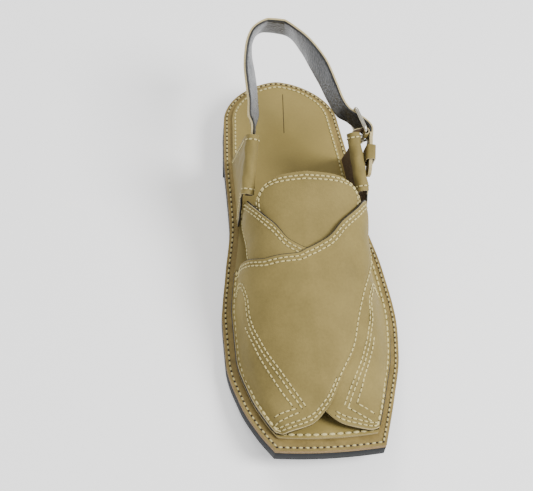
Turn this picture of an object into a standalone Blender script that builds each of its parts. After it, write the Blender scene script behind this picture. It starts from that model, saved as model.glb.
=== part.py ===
"""Peshawari chappal, the left shoe of a pair, at real size.

Metres, +Z up. The toe points along -Y and the outer (lateral) side, which carries the buckle,
is +X. The origin lies on the floor under the middle of the sole. Every leather piece is one
sheet laid on a named surface, so that its edges and its wall follow the sizes below.
"""

import math

import bmesh
import bpy
from mathutils import Matrix, Vector

MM = 0.001

# Driving sizes of the shoe
LENGTH = 285 * MM
BALL_WIDTH = 104.6 * MM
INSTEP_HEIGHT = 61 * MM  # from the insole up to the last's ridge, where the foot goes in
HEEL_HEIGHT = 10.1 * MM
TOE_SPRING = 12.4 * MM
TOE_CROWN = 1.6 * MM  # how far the cut toe bows forward
HEEL_BREAST = 5 * MM  # how far the heel block's front face is hollowed

# Layers of the sole
OUTSOLE_THICK = 6.8 * MM
MIDSOLE_THICK = 2.6 * MM
INSOLE_THICK = 1.8 * MM
RIM_SIDE = 5.8 * MM  # the midsole's rim outside the insole, along the sides
RIM_TOE = 7.8 * MM  # the same rim across the cut toe

# Leather walls and clearances
UPPER_WALL = 2.0 * MM
STEP = 1.0 * MM  # how far the top panel's inner face lies outside the under panel's
TONGUE_WALL = 1.8 * MM
WING_WALL = 1.5 * MM
GAP = 0.3 * MM  # between pieces that touch

# Sleeves along the tops of the wings
SLEEVE_RADIUS = 3.2 * MM  # at the middle of the leather
SLEEVE_TURN = 285  # degrees that the leather curls round
SLEEVE_BORE = SLEEVE_RADIUS - WING_WALL / 2

# Heel strap, buckle and keeper
STRAP_THICK = 2.4 * MM
STRAP_WIDTH = 22 * MM  # at the back of the heel
STRAP_NECK = 3.6 * MM  # width of the end that goes into the medial sleeve
STRAP_NECK_THICK = 2.1 * MM
STRAP_INSERT = 11 * MM  # length of that end
TAIL_WIDTH = 12.5 * MM
TAIL_THICK = 2.0 * MM
TAIL_LENGTH = 26 * MM  # past the buckle's front bar
TAIL_POINT = 0.45  # width of the tail's tip, share of TAIL_WIDTH
WIRE = 2.2 * MM  # of the buckle frame
FRAME_WINDOW = 14 * MM  # clear height inside the buckle frame
FRAME_CORNER = 2.4 * MM  # radius of its corners
PRONG = 1.4 * MM
PRONG_ASIDE = 1.6 * MM  # its middle under the bar's middle
PRONG_EYE = 260  # degrees that its eye goes round the front bar
PRONG_TIP = 1.5 * MM  # past the rear bar
KEEPER_WIDTH = 9 * MM
KEEPER_WALL = 1.4 * MM
KEEPER_GAP = 0.5 * MM  # round the tail
KEEPER_SEAM = 0.3 * MM  # between its two ends
KEEPER_PLACE = 13 * MM  # from the buckle's front bar to the middle of the keeper
TAB_WALL = 1.1 * MM
TAB_GAP = 0.45 * MM  # between the tab and the bar it goes round
TAB_WIDTH = 3.1 * MM
TAB_INSERT = 8 * MM  # length of the tab inside the lateral sleeve
TAB_SPREAD = 3.8 * MM  # its width round the bar
TAB_ASIDE = 4.1 * MM  # its middle over the bar's middle, which leaves the prong its place

# Mesh density
SOLE_ROWS = 29
SOLE_COLUMNS = 6
PANEL_ROWS = 20
PANEL_COLUMNS = 26
WING_ROWS = 8
WING_COLUMNS = 22
STRAP_ROWS = 84
WIRE_SIDES = 8

# Plan outline. along: share of LENGTH from the heel. medial, lateral: half widths, shares of
# BALL_WIDTH. Behind the first row the heel closes in a round end.
OUTLINE = {
    "along": (0.14, 0.28, 0.42, 0.56, 0.68, 0.78, 0.88, 0.95, 1.0),
    "medial": (0.375, 0.396, 0.392, 0.443, 0.482, 0.481, 0.427, 0.353, 0.279),
    "lateral": (0.371, 0.400, 0.426, 0.497, 0.518, 0.489, 0.412, 0.347, 0.298),
}
HEEL_ROUND = 0.14
HEEL_ROUND_POWER = 0.62

# Underside of the outsole. heel: share of HEEL_HEIGHT. spring: share of TOE_SPRING.
UNDERSIDE = {
    "along": (0.0, 0.24, 0.34, 0.48, 0.58, 0.72, 0.80, 0.88, 0.95, 1.0),
    "heel": (1.0, 1.0, 0.86, 0.26, 0.0, 0.0, 0.0, 0.0, 0.0, 0.0),
    "spring": (0.0, 0.0, 0.0, 0.0, 0.0, 0.0, 0.08, 0.34, 0.69, 1.0),
}
HEEL_END = 0.25  # the heel block's front face, share of LENGTH

# Ridge of the last. height: share of INSTEP_HEIGHT over the insole. aside: share of
# BALL_WIDTH towards the lateral side.
RIDGE = {
    "along": (0.38, 0.43, 0.479, 0.535, 0.616, 0.675, 0.746, 0.851, 0.928, 0.97, 1.0),
    "height": (1.29, 1.15, 1.0, 0.87, 0.733, 0.634, 0.515, 0.307, 0.105, 0.041, 0.025),
    "aside": (0.01, 0.005, -0.01, -0.02, -0.03, -0.03, -0.025, -0.015, 0.01, 0.01, 0.01),
}

# Cross sections of the last, from the insole's edge (turn 0) up to the ridge (turn 1).
# Each out column is a share of the half width there, and each up column a share of the height.
SECTION = {
    "turn": (0.0, 0.06, 0.12, 0.25, 0.40, 0.55, 0.70, 0.85, 1.0),
    "ankle_medial": (1.0, 0.965, 0.935, 0.915, 0.900, 0.865, 0.74, 0.44, 0.0),
    "ankle_lateral": (1.0, 0.955, 0.915, 0.895, 0.885, 0.855, 0.73, 0.43, 0.0),
    "instep_medial": (1.0, 0.955, 0.912, 0.870, 0.830, 0.765, 0.61, 0.345, 0.0),
    "instep_lateral": (1.0, 0.955, 0.905, 0.825, 0.770, 0.725, 0.62, 0.37, 0.0),
    "instep_up": (0.0, 0.005, 0.05, 0.22, 0.45, 0.67, 0.85, 0.965, 1.0),
    "toe_out": (1.0, 0.960, 0.925, 0.860, 0.755, 0.610, 0.42, 0.215, 0.0),
    "toe_up": (0.0, 0.0, 0.06, 0.26, 0.50, 0.71, 0.875, 0.97, 1.0),
}
ANKLE_FROM, ANKLE_TO = 0.48, 0.57  # shares of LENGTH between which ankle turns to instep
TOE_FROM, TOE_TO = 0.58, 0.80  # and instep turns to toe
CROWN_FROM = 0.90  # share of the sole's rows from which the cut toe's bow sets in

# Where the top panel steps up: shares of the way over the foot, then of LENGTH
STEP_OVER = (0.08, 0.20)
STEP_ALONG = (0.49, 0.55)

# The top panel, sewn down along the medial side. share runs from its toe corner round to the
# tip of its band. free: the edge that crosses the foot and then hangs under the band. rear: the
# edge towards the heel. along: share of LENGTH. over: 0 at the medial edge of the insole, 1 at
# the lateral one.
TOP_PANEL = {
    "share": (0.0, 0.12, 0.24, 0.36, 0.48, 0.60, 0.72, 0.84, 0.93, 1.0),
    "free_along": (0.966, 0.972, 0.960, 0.929, 0.873, 0.800, 0.700, 0.610, 0.535, 0.468),
    "free_over": (0.0, 0.150, 0.375, 0.492, 0.592, 0.668, 0.685, 0.745, 0.815, 0.875),
    "rear_along": (0.555, 0.585, 0.612, 0.630, 0.631, 0.605, 0.560, 0.510, 0.484, 0.465),
    "rear_over": (0.0, 0.150, 0.275, 0.370, 0.460, 0.540, 0.595, 0.675, 0.750, 0.805),
}

# The under panel, sewn down along the lateral side: its over runs from the lateral edge.
UNDER_PANEL = {
    "share": (0.0, 0.12, 0.24, 0.36, 0.48, 0.60, 0.72, 0.84, 0.93, 1.0),
    "free_along": (0.966, 0.971, 0.960, 0.929, 0.873, 0.800, 0.710, 0.610, 0.535, 0.468),
    "free_over": (0.0, 0.170, 0.385, 0.516, 0.592, 0.655, 0.690, 0.745, 0.805, 0.870),
    "rear_along": (0.535, 0.568, 0.597, 0.618, 0.625, 0.604, 0.560, 0.507, 0.482, 0.465),
    "rear_over": (0.0, 0.130, 0.250, 0.370, 0.470, 0.545, 0.607, 0.692, 0.745, 0.795),
}

# The tongue, in rows from its hidden front end to its rounded top.
TONGUE = {
    "row": (0.0, 0.35, 0.70, 0.84, 0.93, 0.98, 1.0),
    "side_along": (0.700, 0.620, 0.538, 0.507, 0.493, 0.484, 0.480),
    "middle_along": (0.705, 0.628, 0.535, 0.502, 0.488, 0.479, 0.475),
    "half_over": (0.120, 0.160, 0.195, 0.190, 0.155, 0.118, 0.095),
}

# Wings: where each stands on the insole, and its sleeve's two ends. along: share of LENGTH,
# up: share of INSTEP_HEIGHT over the floor, out: share of BALL_WIDTH.
WINGS = {
    "medial": {"side": -1, "front": (0.477, 0.935, 0.324), "rear": (0.371, 1.245, 0.280)},
    "lateral": {"side": 1, "front": (0.475, 0.935, 0.343), "rear": (0.369, 1.245, 0.302)},
}
WING_BASE_FRONT = 0.446
WING_BASE_REAR = 0.270
WING_FRONT_SWELL = 0.010  # share of LENGTH that the front edge swells forward
WING_SIDE_SWELL = 0.003  # share of BALL_WIDTH that the wall swells outward

# The buckle frame's front and rear bars, and the tail's tip, in the same three shares
BUCKLE = {"front": (0.362, 1.164, 0.376), "rear": (0.307, 1.215, 0.334)}
TAIL_TIP = (0.446, 0.970, 0.388)

# The heel strap's middle line round the heel, from the medial sleeve to the buckle. out: share
# of BALL_WIDTH, + lateral. along: share of LENGTH. up: share of INSTEP_HEIGHT over the floor.
# width: share of STRAP_WIDTH. lean: degrees that the upper edge swings outward.
STRAP = {
    "out": (-0.272, -0.252, -0.251, -0.242, -0.222, -0.118, -0.007, 0.088, 0.152, 0.200,
            0.234, 0.264),
    "along": (0.324, 0.275, 0.205, 0.135, 0.080, 0.036, 0.041, 0.080, 0.129, 0.180,
              0.238, 0.284),
    "up": (1.217, 1.211, 1.234, 1.252, 1.272, 1.308, 1.300, 1.270, 1.250, 1.234,
           1.219, 1.212),
    "width": (0.50, 0.66, 0.80, 0.90, 0.97, 1.0, 1.0, 0.97, 0.88, 0.79,
              0.69, 0.62),
    "lean": (18, 24, 24, 15, -3, -31, -29, -16, -1, 8,
             10, 6),
}

COLOURS = {
    "tan_leather": ((0.43, 0.35, 0.19, 1), 0.55, 0.0),
    "rim_leather": ((0.38, 0.26, 0.12, 1), 0.60, 0.0),
    "black_rubber": ((0.015, 0.018, 0.022, 1), 0.70, 0.0),
    "nickel_wire": ((0.60, 0.57, 0.50, 1), 0.30, 1.0),
}


def table(rows, column, at, key="along"):
    """The value of a table's column at one place, on a smooth curve that never overshoots."""
    xs, ys = rows[key], rows[column]
    at = min(max(at, xs[0]), xs[-1])
    i = 0
    while i < len(xs) - 2 and at > xs[i + 1]:
        i += 1

    def slope(k):
        return (ys[k + 1] - ys[k]) / (xs[k + 1] - xs[k])

    def tangent(k):
        if k == 0:
            return slope(0)
        if k == len(xs) - 1:
            return slope(k - 1)
        before, after = slope(k - 1), slope(k)
        if before * after <= 0:
            return 0.0
        return 2 * before * after / (before + after)

    span = xs[i + 1] - xs[i]
    t = (at - xs[i]) / span
    return (
        ys[i] * (1 + 2 * t) * (1 - t) ** 2
        + tangent(i) * span * t * (1 - t) ** 2
        + ys[i + 1] * t * t * (3 - 2 * t)
        + tangent(i + 1) * span * t * t * (t - 1)
    )


def ease(low, high, x):
    """0 below low, 1 above high, and a smooth turn between."""
    t = min(max((x - low) / (high - low), 0.0), 1.0)
    return t * t * (3 - 2 * t)


def mix(a, b, t):
    return a + (b - a) * t


def y_at(along):
    return LENGTH * (0.5 - along)


def half_width(side, along, inset=0.0):
    """Half the plan width on one side, of the outline moved inward by inset."""
    column = "medial" if side < 0 else "lateral"
    if along < HEEL_ROUND:
        start = inset / LENGTH
        full = BALL_WIDTH * table(OUTLINE, column, HEEL_ROUND) - inset
        back = (HEEL_ROUND - along) / (HEEL_ROUND - start)
        return full * max(0.0, 1 - back * back) ** HEEL_ROUND_POWER
    step = 0.002
    ahead = BALL_WIDTH * table(OUTLINE, column, min(1.0, along + step))
    behind = BALL_WIDTH * table(OUTLINE, column, max(HEEL_ROUND, along - step))
    run = LENGTH * (min(1.0, along + step) - max(HEEL_ROUND, along - step))
    tilt = (ahead - behind) / run
    return BALL_WIDTH * table(OUTLINE, column, along) - inset * math.sqrt(1 + tilt * tilt)


def underside(along):
    """Height of the outsole's underside over the floor."""
    heel = (HEEL_HEIGHT + GAP) * table(UNDERSIDE, "heel", along)
    return heel + TOE_SPRING * table(UNDERSIDE, "spring", along)


def midsole_bottom(along):
    return underside(along) + OUTSOLE_THICK + GAP


def insole_bottom(along):
    return midsole_bottom(along) + MIDSOLE_THICK + GAP


def insole_top(along):
    return insole_bottom(along) + INSOLE_THICK


def last_point(along, over):
    """A point of the last that the upper is shaped on."""
    side = -1 if over < 0.5 else 1
    turn = 2 * over if over < 0.5 else 2 * (1 - over)
    name = "medial" if side < 0 else "lateral"
    ankle = table(SECTION, "ankle_" + name, turn, "turn")
    instep = table(SECTION, "instep_" + name, turn, "turn")
    toe = table(SECTION, "toe_out", turn, "turn")
    out = mix(ankle, instep, ease(ANKLE_FROM, ANKLE_TO, along))
    toeward = ease(TOE_FROM, TOE_TO, along)
    out = mix(out, toe, toeward)
    instep_up = table(SECTION, "instep_up", turn, "turn")
    up = mix(instep_up, table(SECTION, "toe_up", turn, "turn"), toeward)
    ridge = BALL_WIDTH * table(RIDGE, "aside", along)
    edge = side * half_width(side, along, RIM_SIDE)
    x = mix(ridge, edge, out)
    z = insole_top(along) + GAP + up * INSTEP_HEIGHT * table(RIDGE, "height", along)
    return Vector((x, y_at(along), z))


def last_normal(along, over):
    step = 0.003
    across = last_point(along, min(1, over + step)) - last_point(along, max(0, over - step))
    forward = last_point(along + step, over) - last_point(along - step, over)
    return forward.cross(across).normalized()


def on_last(along, over, lift):
    return last_point(along, over) + last_normal(along, over) * lift


def panel_place(rows, share, back):
    """A place in a panel: share along its edges, back from the free edge (0) to the rear (1)."""
    front_along = table(rows, "free_along", share, "share")
    front_over = table(rows, "free_over", share, "share")
    along = mix(front_along, table(rows, "rear_along", share, "share"), back)
    return along, mix(front_over, table(rows, "rear_over", share, "share"), back)


def top_panel_lift(along, over):
    """The top panel steps up over the under panel, and lies down at its own seam and tip."""
    return STEP * ease(*STEP_OVER, over) * ease(*STEP_ALONG, along)


def top_panel(u, v, w):
    along, over = panel_place(TOP_PANEL, u, v)
    return on_last(along, over, top_panel_lift(along, over) + w * UPPER_WALL)


def under_panel(u, v, w):
    along, over = panel_place(UNDER_PANEL, u, v)
    return on_last(along, 1 - over, w * UPPER_WALL)


def tongue_sheet(u, v, w):
    side_along = table(TONGUE, "side_along", v, "row")
    middle_along = table(TONGUE, "middle_along", v, "row")
    half = table(TONGUE, "half_over", v, "row")
    aside = 2 * u - 1
    along = mix(middle_along, side_along, aside * aside)
    return on_last(along, 0.5 + aside * half, -GAP - (1 - w) * TONGUE_WALL)


def sole_place(u, v, inset_side, inset_back, inset_toe):
    """Plan place in the sole. u runs from -1 (medial) to 1 (lateral), v from heel to toe."""
    start = inset_back / LENGTH
    end = 1 - inset_toe / LENGTH
    along = mix(start, end, v ** 1.6 if v < 1 else 1.0)
    side = -1 if u < 0 else 1
    x = u * half_width(side, along, inset_side)
    crown = TOE_CROWN * (1 - u * u) * ease(CROWN_FROM, 1.0, v)
    return x, y_at(along) - crown, along


def sole_layer(low, high, inset_side=0.0, inset_toe=0.0):
    def place(u, v, w):
        x, y, along = sole_place(2 * u - 1, v, inset_side, inset_side, inset_toe)
        return Vector((x, y, mix(low(along), high(along), w)))

    return place


def heel_block(u, v, w):
    aside = 2 * u - 1
    end = HEEL_END - HEEL_BREAST / LENGTH * (1 - aside * aside)
    along = end * v**1.6
    x = aside * half_width(-1 if aside < 0 else 1, along)
    return Vector((x, y_at(along), w * (underside(along) - GAP)))


def sleeve_point(wing, t):
    """The sleeve's axis, from its front mouth (0) to its rear mouth (1)."""
    front, rear = wing["front"], wing["rear"]
    along = mix(front[0], rear[0], t)
    up = mix(front[1], rear[1], t)
    out = mix(front[2], rear[2], t)
    return Vector((wing["side"] * out * BALL_WIDTH, y_at(along), up * INSTEP_HEIGHT))


def sleeve_frame(wing):
    """Rearward axis, outward and upward directions of a sleeve."""
    axis = (sleeve_point(wing, 1) - sleeve_point(wing, 0)).normalized()
    outward = Vector((wing["side"], 0, 0))
    outward = (outward - axis * outward.dot(axis)).normalized()
    upward = axis.cross(outward) if wing["side"] > 0 else outward.cross(axis)
    if upward.z < 0:
        upward = -upward
    return axis, outward, upward


def wing_surface(wing, p, t):
    """The middle of the wing's leather: p runs up the wall and then round the sleeve."""
    axis, outward, upward = sleeve_frame(wing)
    centre = sleeve_point(wing, t)
    wall_share = 0.5
    top = centre + outward * SLEEVE_RADIUS
    if p > wall_share:
        angle = math.radians(SLEEVE_TURN) * (p - wall_share) / (1 - wall_share)
        around = outward * math.cos(angle) + upward * math.sin(angle)
        return centre + around * SLEEVE_RADIUS
    climb = p / wall_share
    along = mix(WING_BASE_FRONT, WING_BASE_REAR, t)
    side = wing["side"]
    x = side * (half_width(side, along, RIM_SIDE) + WING_WALL / 2)
    foot = Vector((x, y_at(along), insole_top(along) + GAP))
    swell = math.sin(math.pi * climb)
    point = mix(foot, top, climb)
    point.x += side * swell * WING_SIDE_SWELL * BALL_WIDTH
    point.y -= (1 - t) * swell * WING_FRONT_SWELL * LENGTH
    return point


def surface_normal(surface, u, v):
    step = 0.004
    across = surface(min(1, u + step), v) - surface(max(0, u - step), v)
    along = surface(u, min(1, v + step)) - surface(u, max(0, v - step))
    return across.cross(along).normalized()


def thick_sheet(surface, wall):
    """A sheet of leather with its wall laid evenly on both sides of a surface."""

    def place(u, v, w):
        return surface(u, v) + surface_normal(surface, u, v) * (w - 0.5) * wall

    return place


def place_of(shares, side=1):
    """A point from its (along, up, out) shares."""
    along, up, out = shares
    return Vector((side * out * BALL_WIDTH, y_at(along), up * INSTEP_HEIGHT))


def buckle_frame():
    """Middle of the frame, its rearward axis, its outward normal and its upward side."""
    front, rear = place_of(BUCKLE["front"]), place_of(BUCKLE["rear"])
    axis = (rear - front).normalized()
    outward = Vector((1, 0, 0))
    outward = (outward - axis * outward.dot(axis)).normalized()
    return (front + rear) / 2, (rear - front).length, axis, outward, axis.cross(-outward)


def tail_lift():
    """How far outside the front bar the tail's middle runs, over the prong's eye."""
    return WIRE / 2 + PRONG + 2 * GAP + TAIL_THICK / 2


def tail_line():
    """Where the tail leaves the front bar, and its direction."""
    front = place_of(BUCKLE["front"])
    outward = buckle_frame()[3]
    start = front + outward * tail_lift()
    direction = (place_of(TAIL_TIP) - start).normalized()
    return start, direction


def strap_rows():
    """Rows (middle, width, lean, wall) of the strap, from the medial sleeve to its tip."""
    medial = WINGS["medial"]
    mouth = sleeve_point(medial, 1)
    axis = sleeve_frame(medial)[0]
    rows = []
    for reach in (-STRAP_INSERT, -STRAP_INSERT / 2, 0.0, 1.2 * MM):
        rows.append((mouth + axis * reach, STRAP_NECK, 0.0, STRAP_NECK_THICK))
    for i in range(len(STRAP["out"])):
        middle = place_of((STRAP["along"][i], STRAP["up"][i], STRAP["out"][i]))
        rows.append((middle, STRAP["width"][i] * STRAP_WIDTH, STRAP["lean"][i], STRAP_THICK))
    middle, length, axis, outward, upward = buckle_frame()
    under_bar = middle + axis * length / 2 - outward * (WIRE / 2 + 2 * GAP + TAIL_THICK / 2)
    rows.append((under_bar, TAIL_WIDTH, -7.0, TAIL_THICK))
    start, direction = tail_line()
    for reach in (0.0, 0.2 * TAIL_LENGTH, 0.5 * TAIL_LENGTH, 0.85 * TAIL_LENGTH):
        rows.append((start + direction * reach, TAIL_WIDTH, 0.0, TAIL_THICK))
    rows.append((start + direction * TAIL_LENGTH, TAIL_WIDTH * TAIL_POINT, 0.0, TAIL_THICK))
    return rows


def tab_rows():
    """Rows of the tab, from inside the lateral sleeve out and round the buckle's front bar."""
    lateral = WINGS["lateral"]
    mouth = sleeve_point(lateral, 1)
    inward = sleeve_frame(lateral)[0]
    middle, length, axis, outward, upward = buckle_frame()
    bar = middle - axis * length / 2 + upward * TAB_ASIDE
    radius = WIRE / 2 + TAB_GAP + TAB_WALL / 2
    rows = []
    for reach in (-TAB_INSERT, -TAB_INSERT / 2, 0.0):
        rows.append((mouth + inward * reach, TAB_WIDTH, 0.0, TAB_WALL))
    whole = bar + axis * radius - mouth
    ahead = inward * whole.dot(inward)
    for turn in (22.5, 45.0, 67.5):
        angle = math.radians(turn)
        bend = mouth + (whole - ahead) * (1 - math.cos(angle)) + ahead * math.sin(angle)
        rows.append((bend, TAB_WIDTH, 0.0, TAB_WALL))
    for turn in range(0, 211, 30):
        angle = math.radians(turn)
        around = axis * math.cos(angle) + outward * math.sin(angle)
        rows.append((bar + around * radius, TAB_SPREAD, 0.0, TAB_WALL))
    return rows


def row_table(rows):
    """The rows as a table by the distance along their middle line."""
    names = ("x", "y", "z", "width", "lean", "wall")
    columns = {name: [] for name in names}
    columns["distance"] = []
    travelled = 0.0
    for i, (middle, width, lean, wall) in enumerate(rows):
        if i:
            travelled += (middle - rows[i - 1][0]).length
        columns["distance"].append(travelled)
        for name, value in zip(names, (*middle, width, lean, wall)):
            columns[name].append(value)
    return columns


def ribbon(rows):
    """A leather ribbon along rows of (middle, width, lean, wall)."""
    columns = row_table(rows)
    total = columns["distance"][-1]

    def value(name, distance):
        return table(columns, name, distance, "distance")

    def middle_at(distance):
        return Vector([value(name, distance) for name in "xyz"])

    def place(u, v, w):
        distance = v * total
        step = 0.5 * MM
        tangent = middle_at(min(total, distance + step)) - middle_at(max(0, distance - step))
        tangent.normalize()
        outward = Vector((0, 0, 1)).cross(tangent).normalized()
        lean = math.radians(value("lean", distance))
        across = Vector((0, 0, 1)) * math.cos(lean) + outward * math.sin(lean)
        across = (across - tangent * across.dot(tangent)).normalized()
        normal = across.cross(tangent)
        aside = across * (u - 0.5) * value("width", distance)
        return middle_at(distance) + aside + normal * (w - 0.5) * value("wall", distance)

    return place


def rounded_loop(wide, high, corner, t):
    """A point on a rounded rectangle round the origin, t from 0 to 1 along its length."""
    straight_wide, straight_high = wide - 2 * corner, high - 2 * corner
    quarter = math.pi * corner / 2
    rest = t * (2 * straight_wide + 2 * straight_high + 4 * quarter)
    x, y, heading = -straight_wide / 2, -high / 2, 0.0
    for straight in (straight_wide, straight_high, straight_wide, straight_high):
        run = min(rest, straight)
        x += run * math.cos(heading)
        y += run * math.sin(heading)
        rest -= run
        turn = min(rest, quarter) / corner
        x += corner * (math.sin(heading + turn) - math.sin(heading))
        y += corner * (math.cos(heading) - math.cos(heading + turn))
        rest -= min(rest, quarter)
        heading += math.pi / 2
    return x, y


def tube(path, side, radius, rings, cyclic):
    """A round wire along a path that bends in the plane across side: a grid rolled up."""
    mesh = bmesh.new()
    bmesh.ops.create_grid(mesh, x_segments=WIRE_SIDES, y_segments=rings, size=0.5)
    for vertex in mesh.verts:
        u, v = vertex.co.x + 0.5, vertex.co.y + 0.5
        low, high = v - 0.002, v + 0.002
        if not cyclic:
            low, high = max(low, 0), min(high, 1)
        tangent = (path(high % 1 if cyclic else high) - path(low % 1 if cyclic else low))
        tangent.normalize()
        first = side.cross(tangent).normalized()
        second = tangent.cross(first)
        angle = 2 * math.pi * u
        ring = first * math.cos(angle) + second * math.sin(angle)
        vertex.co = path(v % 1 if cyclic else v) + ring * radius
    bmesh.ops.remove_doubles(mesh, verts=mesh.verts[:], dist=0.00001)
    if not cyclic:
        bmesh.ops.holes_fill(mesh, edges=[e for e in mesh.edges if e.is_boundary], sides=0)
    bmesh.ops.recalc_face_normals(mesh, faces=mesh.faces[:])
    return mesh


def frame_path(t):
    middle, length, axis, outward, upward = buckle_frame()
    x, y = rounded_loop(length, FRAME_WINDOW + WIRE, FRAME_CORNER, t)
    return middle + axis * x + upward * y


def prong_path(t):
    """The prong: an eye round the front bar, then straight back onto the rear bar."""
    middle, length, axis, outward, upward = buckle_frame()
    bar = middle - axis * length / 2 - upward * PRONG_ASIDE
    radius = WIRE / 2 + GAP + PRONG / 2
    eye = math.radians(PRONG_EYE)
    eye_length = eye * radius
    reach = length + PRONG_TIP
    rest = t * (eye_length + reach)
    if rest < eye_length:
        angle = math.pi / 2 - eye + rest / radius
        return bar + axis * math.cos(angle) * -radius + outward * math.sin(angle) * radius
    return bar + outward * radius + axis * (rest - eye_length)


def keeper(u, v, w):
    """A strip round the tail whose ends meet on the side towards the foot."""
    start, direction = tail_line()
    outward = Vector((0, 0, 1)).cross(direction).normalized()
    across = direction.cross(outward)
    margin = KEEPER_GAP + w * KEEPER_WALL
    wide, high = TAIL_WIDTH + 2 * margin, TAIL_THICK + 2 * margin
    seam = KEEPER_SEAM / (2 * wide)
    t = mix(seam, 1 - seam, u) + 0.5 * (wide - 2 * margin) / (2 * (wide + high))
    x, y = rounded_loop(wide, high, margin, t % 1)
    middle = start + direction * (KEEPER_PLACE + (v - 0.5) * KEEPER_WIDTH)
    return middle + across * x + outward * y


def block(columns, rows, place):
    """A closed sheet: a flat grid given a thickness, each point then put in its place."""
    mesh = bmesh.new()
    bmesh.ops.create_grid(mesh, x_segments=columns, y_segments=rows, size=0.5)
    bmesh.ops.solidify(mesh, geom=mesh.faces[:], thickness=-1.0)
    low = min(vertex.co.z for vertex in mesh.verts)
    for vertex in mesh.verts:
        u, v, w = vertex.co.x + 0.5, vertex.co.y + 0.5, vertex.co.z - low
        vertex.co = place(min(max(u, 0), 1), min(max(v, 0), 1), min(max(w, 0), 1))
    bmesh.ops.remove_doubles(mesh, verts=mesh.verts[:], dist=0.00001)
    bmesh.ops.dissolve_degenerate(mesh, edges=mesh.edges[:], dist=0.00001)
    bmesh.ops.recalc_face_normals(mesh, faces=mesh.faces[:])
    return mesh


def material(name):
    existing = bpy.data.materials.get(name)
    if existing:
        return existing
    colour, roughness, metallic = COLOURS[name]
    made = bpy.data.materials.new(name)
    made.use_nodes = True
    shader = made.node_tree.nodes["Principled BSDF"]
    shader.inputs["Base Color"].default_value = colour
    shader.inputs["Roughness"].default_value = roughness
    shader.inputs["Metallic"].default_value = metallic
    made.diffuse_color = colour
    return made


def add_object(name, mesh, finish):
    data = bpy.data.meshes.new(name)
    mesh.to_mesh(data)
    mesh.free()
    data.shade_smooth()
    data.set_sharp_from_angle(angle=math.radians(40))
    made = bpy.data.objects.new(name, data)
    bpy.context.scene.collection.objects.link(made)
    data.materials.append(material(finish))
    return made


def make_sole():
    add_object("heel", block(SOLE_COLUMNS, SOLE_ROWS // 2, heel_block), "black_rubber")
    layers = (
        ("outsole", underside, lambda s: underside(s) + OUTSOLE_THICK, 0, 0, "black_rubber"),
        ("midsole", midsole_bottom, lambda s: insole_bottom(s) - GAP, 0, 0, "rim_leather"),
        ("insole", insole_bottom, insole_top, RIM_SIDE, RIM_TOE, "tan_leather"),
    )
    for name, low, high, side, toe, finish in layers:
        place = sole_layer(low, high, side, toe)
        add_object(name, block(SOLE_COLUMNS, SOLE_ROWS, place), finish)


def make_upper():
    upper = add_object("upper", block(PANEL_COLUMNS, PANEL_ROWS, top_panel), "tan_leather")
    under = add_object(
        "under_panel_joined", block(PANEL_COLUMNS, PANEL_ROWS, under_panel), "tan_leather"
    )
    under.hide_render = True
    under.display_type = "WIRE"
    union = upper.modifiers.new("joined where they cross", "BOOLEAN")
    union.operation = "UNION"
    union.object = under
    add_object("tongue", block(10, 12, tongue_sheet), "tan_leather")


def make_wings():
    for name, wing in WINGS.items():

        def surface(u, v, wing=wing):
            return wing_surface(wing, u, v)

        wing_mesh = block(WING_COLUMNS, WING_ROWS, thick_sheet(surface, WING_WALL))
        add_object("wing_" + name, wing_mesh, "tan_leather")


def make_strap():
    strap = add_object("heel_strap", block(2, STRAP_ROWS, ribbon(strap_rows())), "tan_leather")
    upward = buckle_frame()[4]
    room = tube(prong_path, upward, PRONG / 2 + GAP, 24, False)
    hole = add_object("prong_hole", room, "nickel_wire")
    hole.hide_render = True
    hole.display_type = "WIRE"
    cut = strap.modifiers.new("prong hole", "BOOLEAN")
    cut.operation = "DIFFERENCE"
    cut.object = hole
    add_object("keeper", block(20, 2, keeper), "tan_leather")


def make_buckle():
    add_object("buckle_tab", block(2, 34, ribbon(tab_rows())), "tan_leather")
    middle, length, axis, outward, upward = buckle_frame()
    add_object("buckle_frame", tube(frame_path, outward, WIRE / 2, 36, True), "nickel_wire")
    add_object("buckle_prong", tube(prong_path, upward, PRONG / 2, 24, False), "nickel_wire")


def centre_over_origin():
    """Moves every piece so that the origin lies under the middle of the whole shoe."""
    shown = [made for made in bpy.data.objects if not made.hide_render]
    xs = [vertex.co.x for made in shown for vertex in made.data.vertices]
    ys = [vertex.co.y for made in shown for vertex in made.data.vertices]
    middle = Vector((min(xs) + max(xs), min(ys) + max(ys), 0)) / 2
    for made in bpy.data.objects:
        made.data.transform(Matrix.Translation(-middle))


def main():
    for old in list(bpy.data.objects):
        bpy.data.objects.remove(old, do_unlink=True)
    make_sole()
    make_upper()
    make_wings()
    make_strap()
    make_buckle()
    centre_over_origin()


main()
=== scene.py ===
"""Peshawari chappal, the left shoe of a pair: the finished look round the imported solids.

Metres, +Z up, toe towards -Y, buckle side +X. Every leather piece is one sheet laid on the same
named surface as its solid, in finer steps, with its own wall, edges, seams and stitches.
"""

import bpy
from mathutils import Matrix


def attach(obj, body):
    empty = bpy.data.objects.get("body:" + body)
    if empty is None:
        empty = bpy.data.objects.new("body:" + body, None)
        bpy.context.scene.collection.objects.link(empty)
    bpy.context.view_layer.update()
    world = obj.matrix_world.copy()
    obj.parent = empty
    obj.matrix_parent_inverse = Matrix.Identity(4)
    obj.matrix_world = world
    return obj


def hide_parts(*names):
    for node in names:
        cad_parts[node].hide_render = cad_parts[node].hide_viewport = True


bl_info = {
    "name": "Peshawari chappal",
    "version": (1, 0, 0),
    "blender": (4, 5, 0),
    "location": "3D View > Sidebar > Chappal",
    "description": "Dresses the shoe's solids in leather, rubber, thread and nickel",
    "category": "Add Mesh",
}

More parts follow.
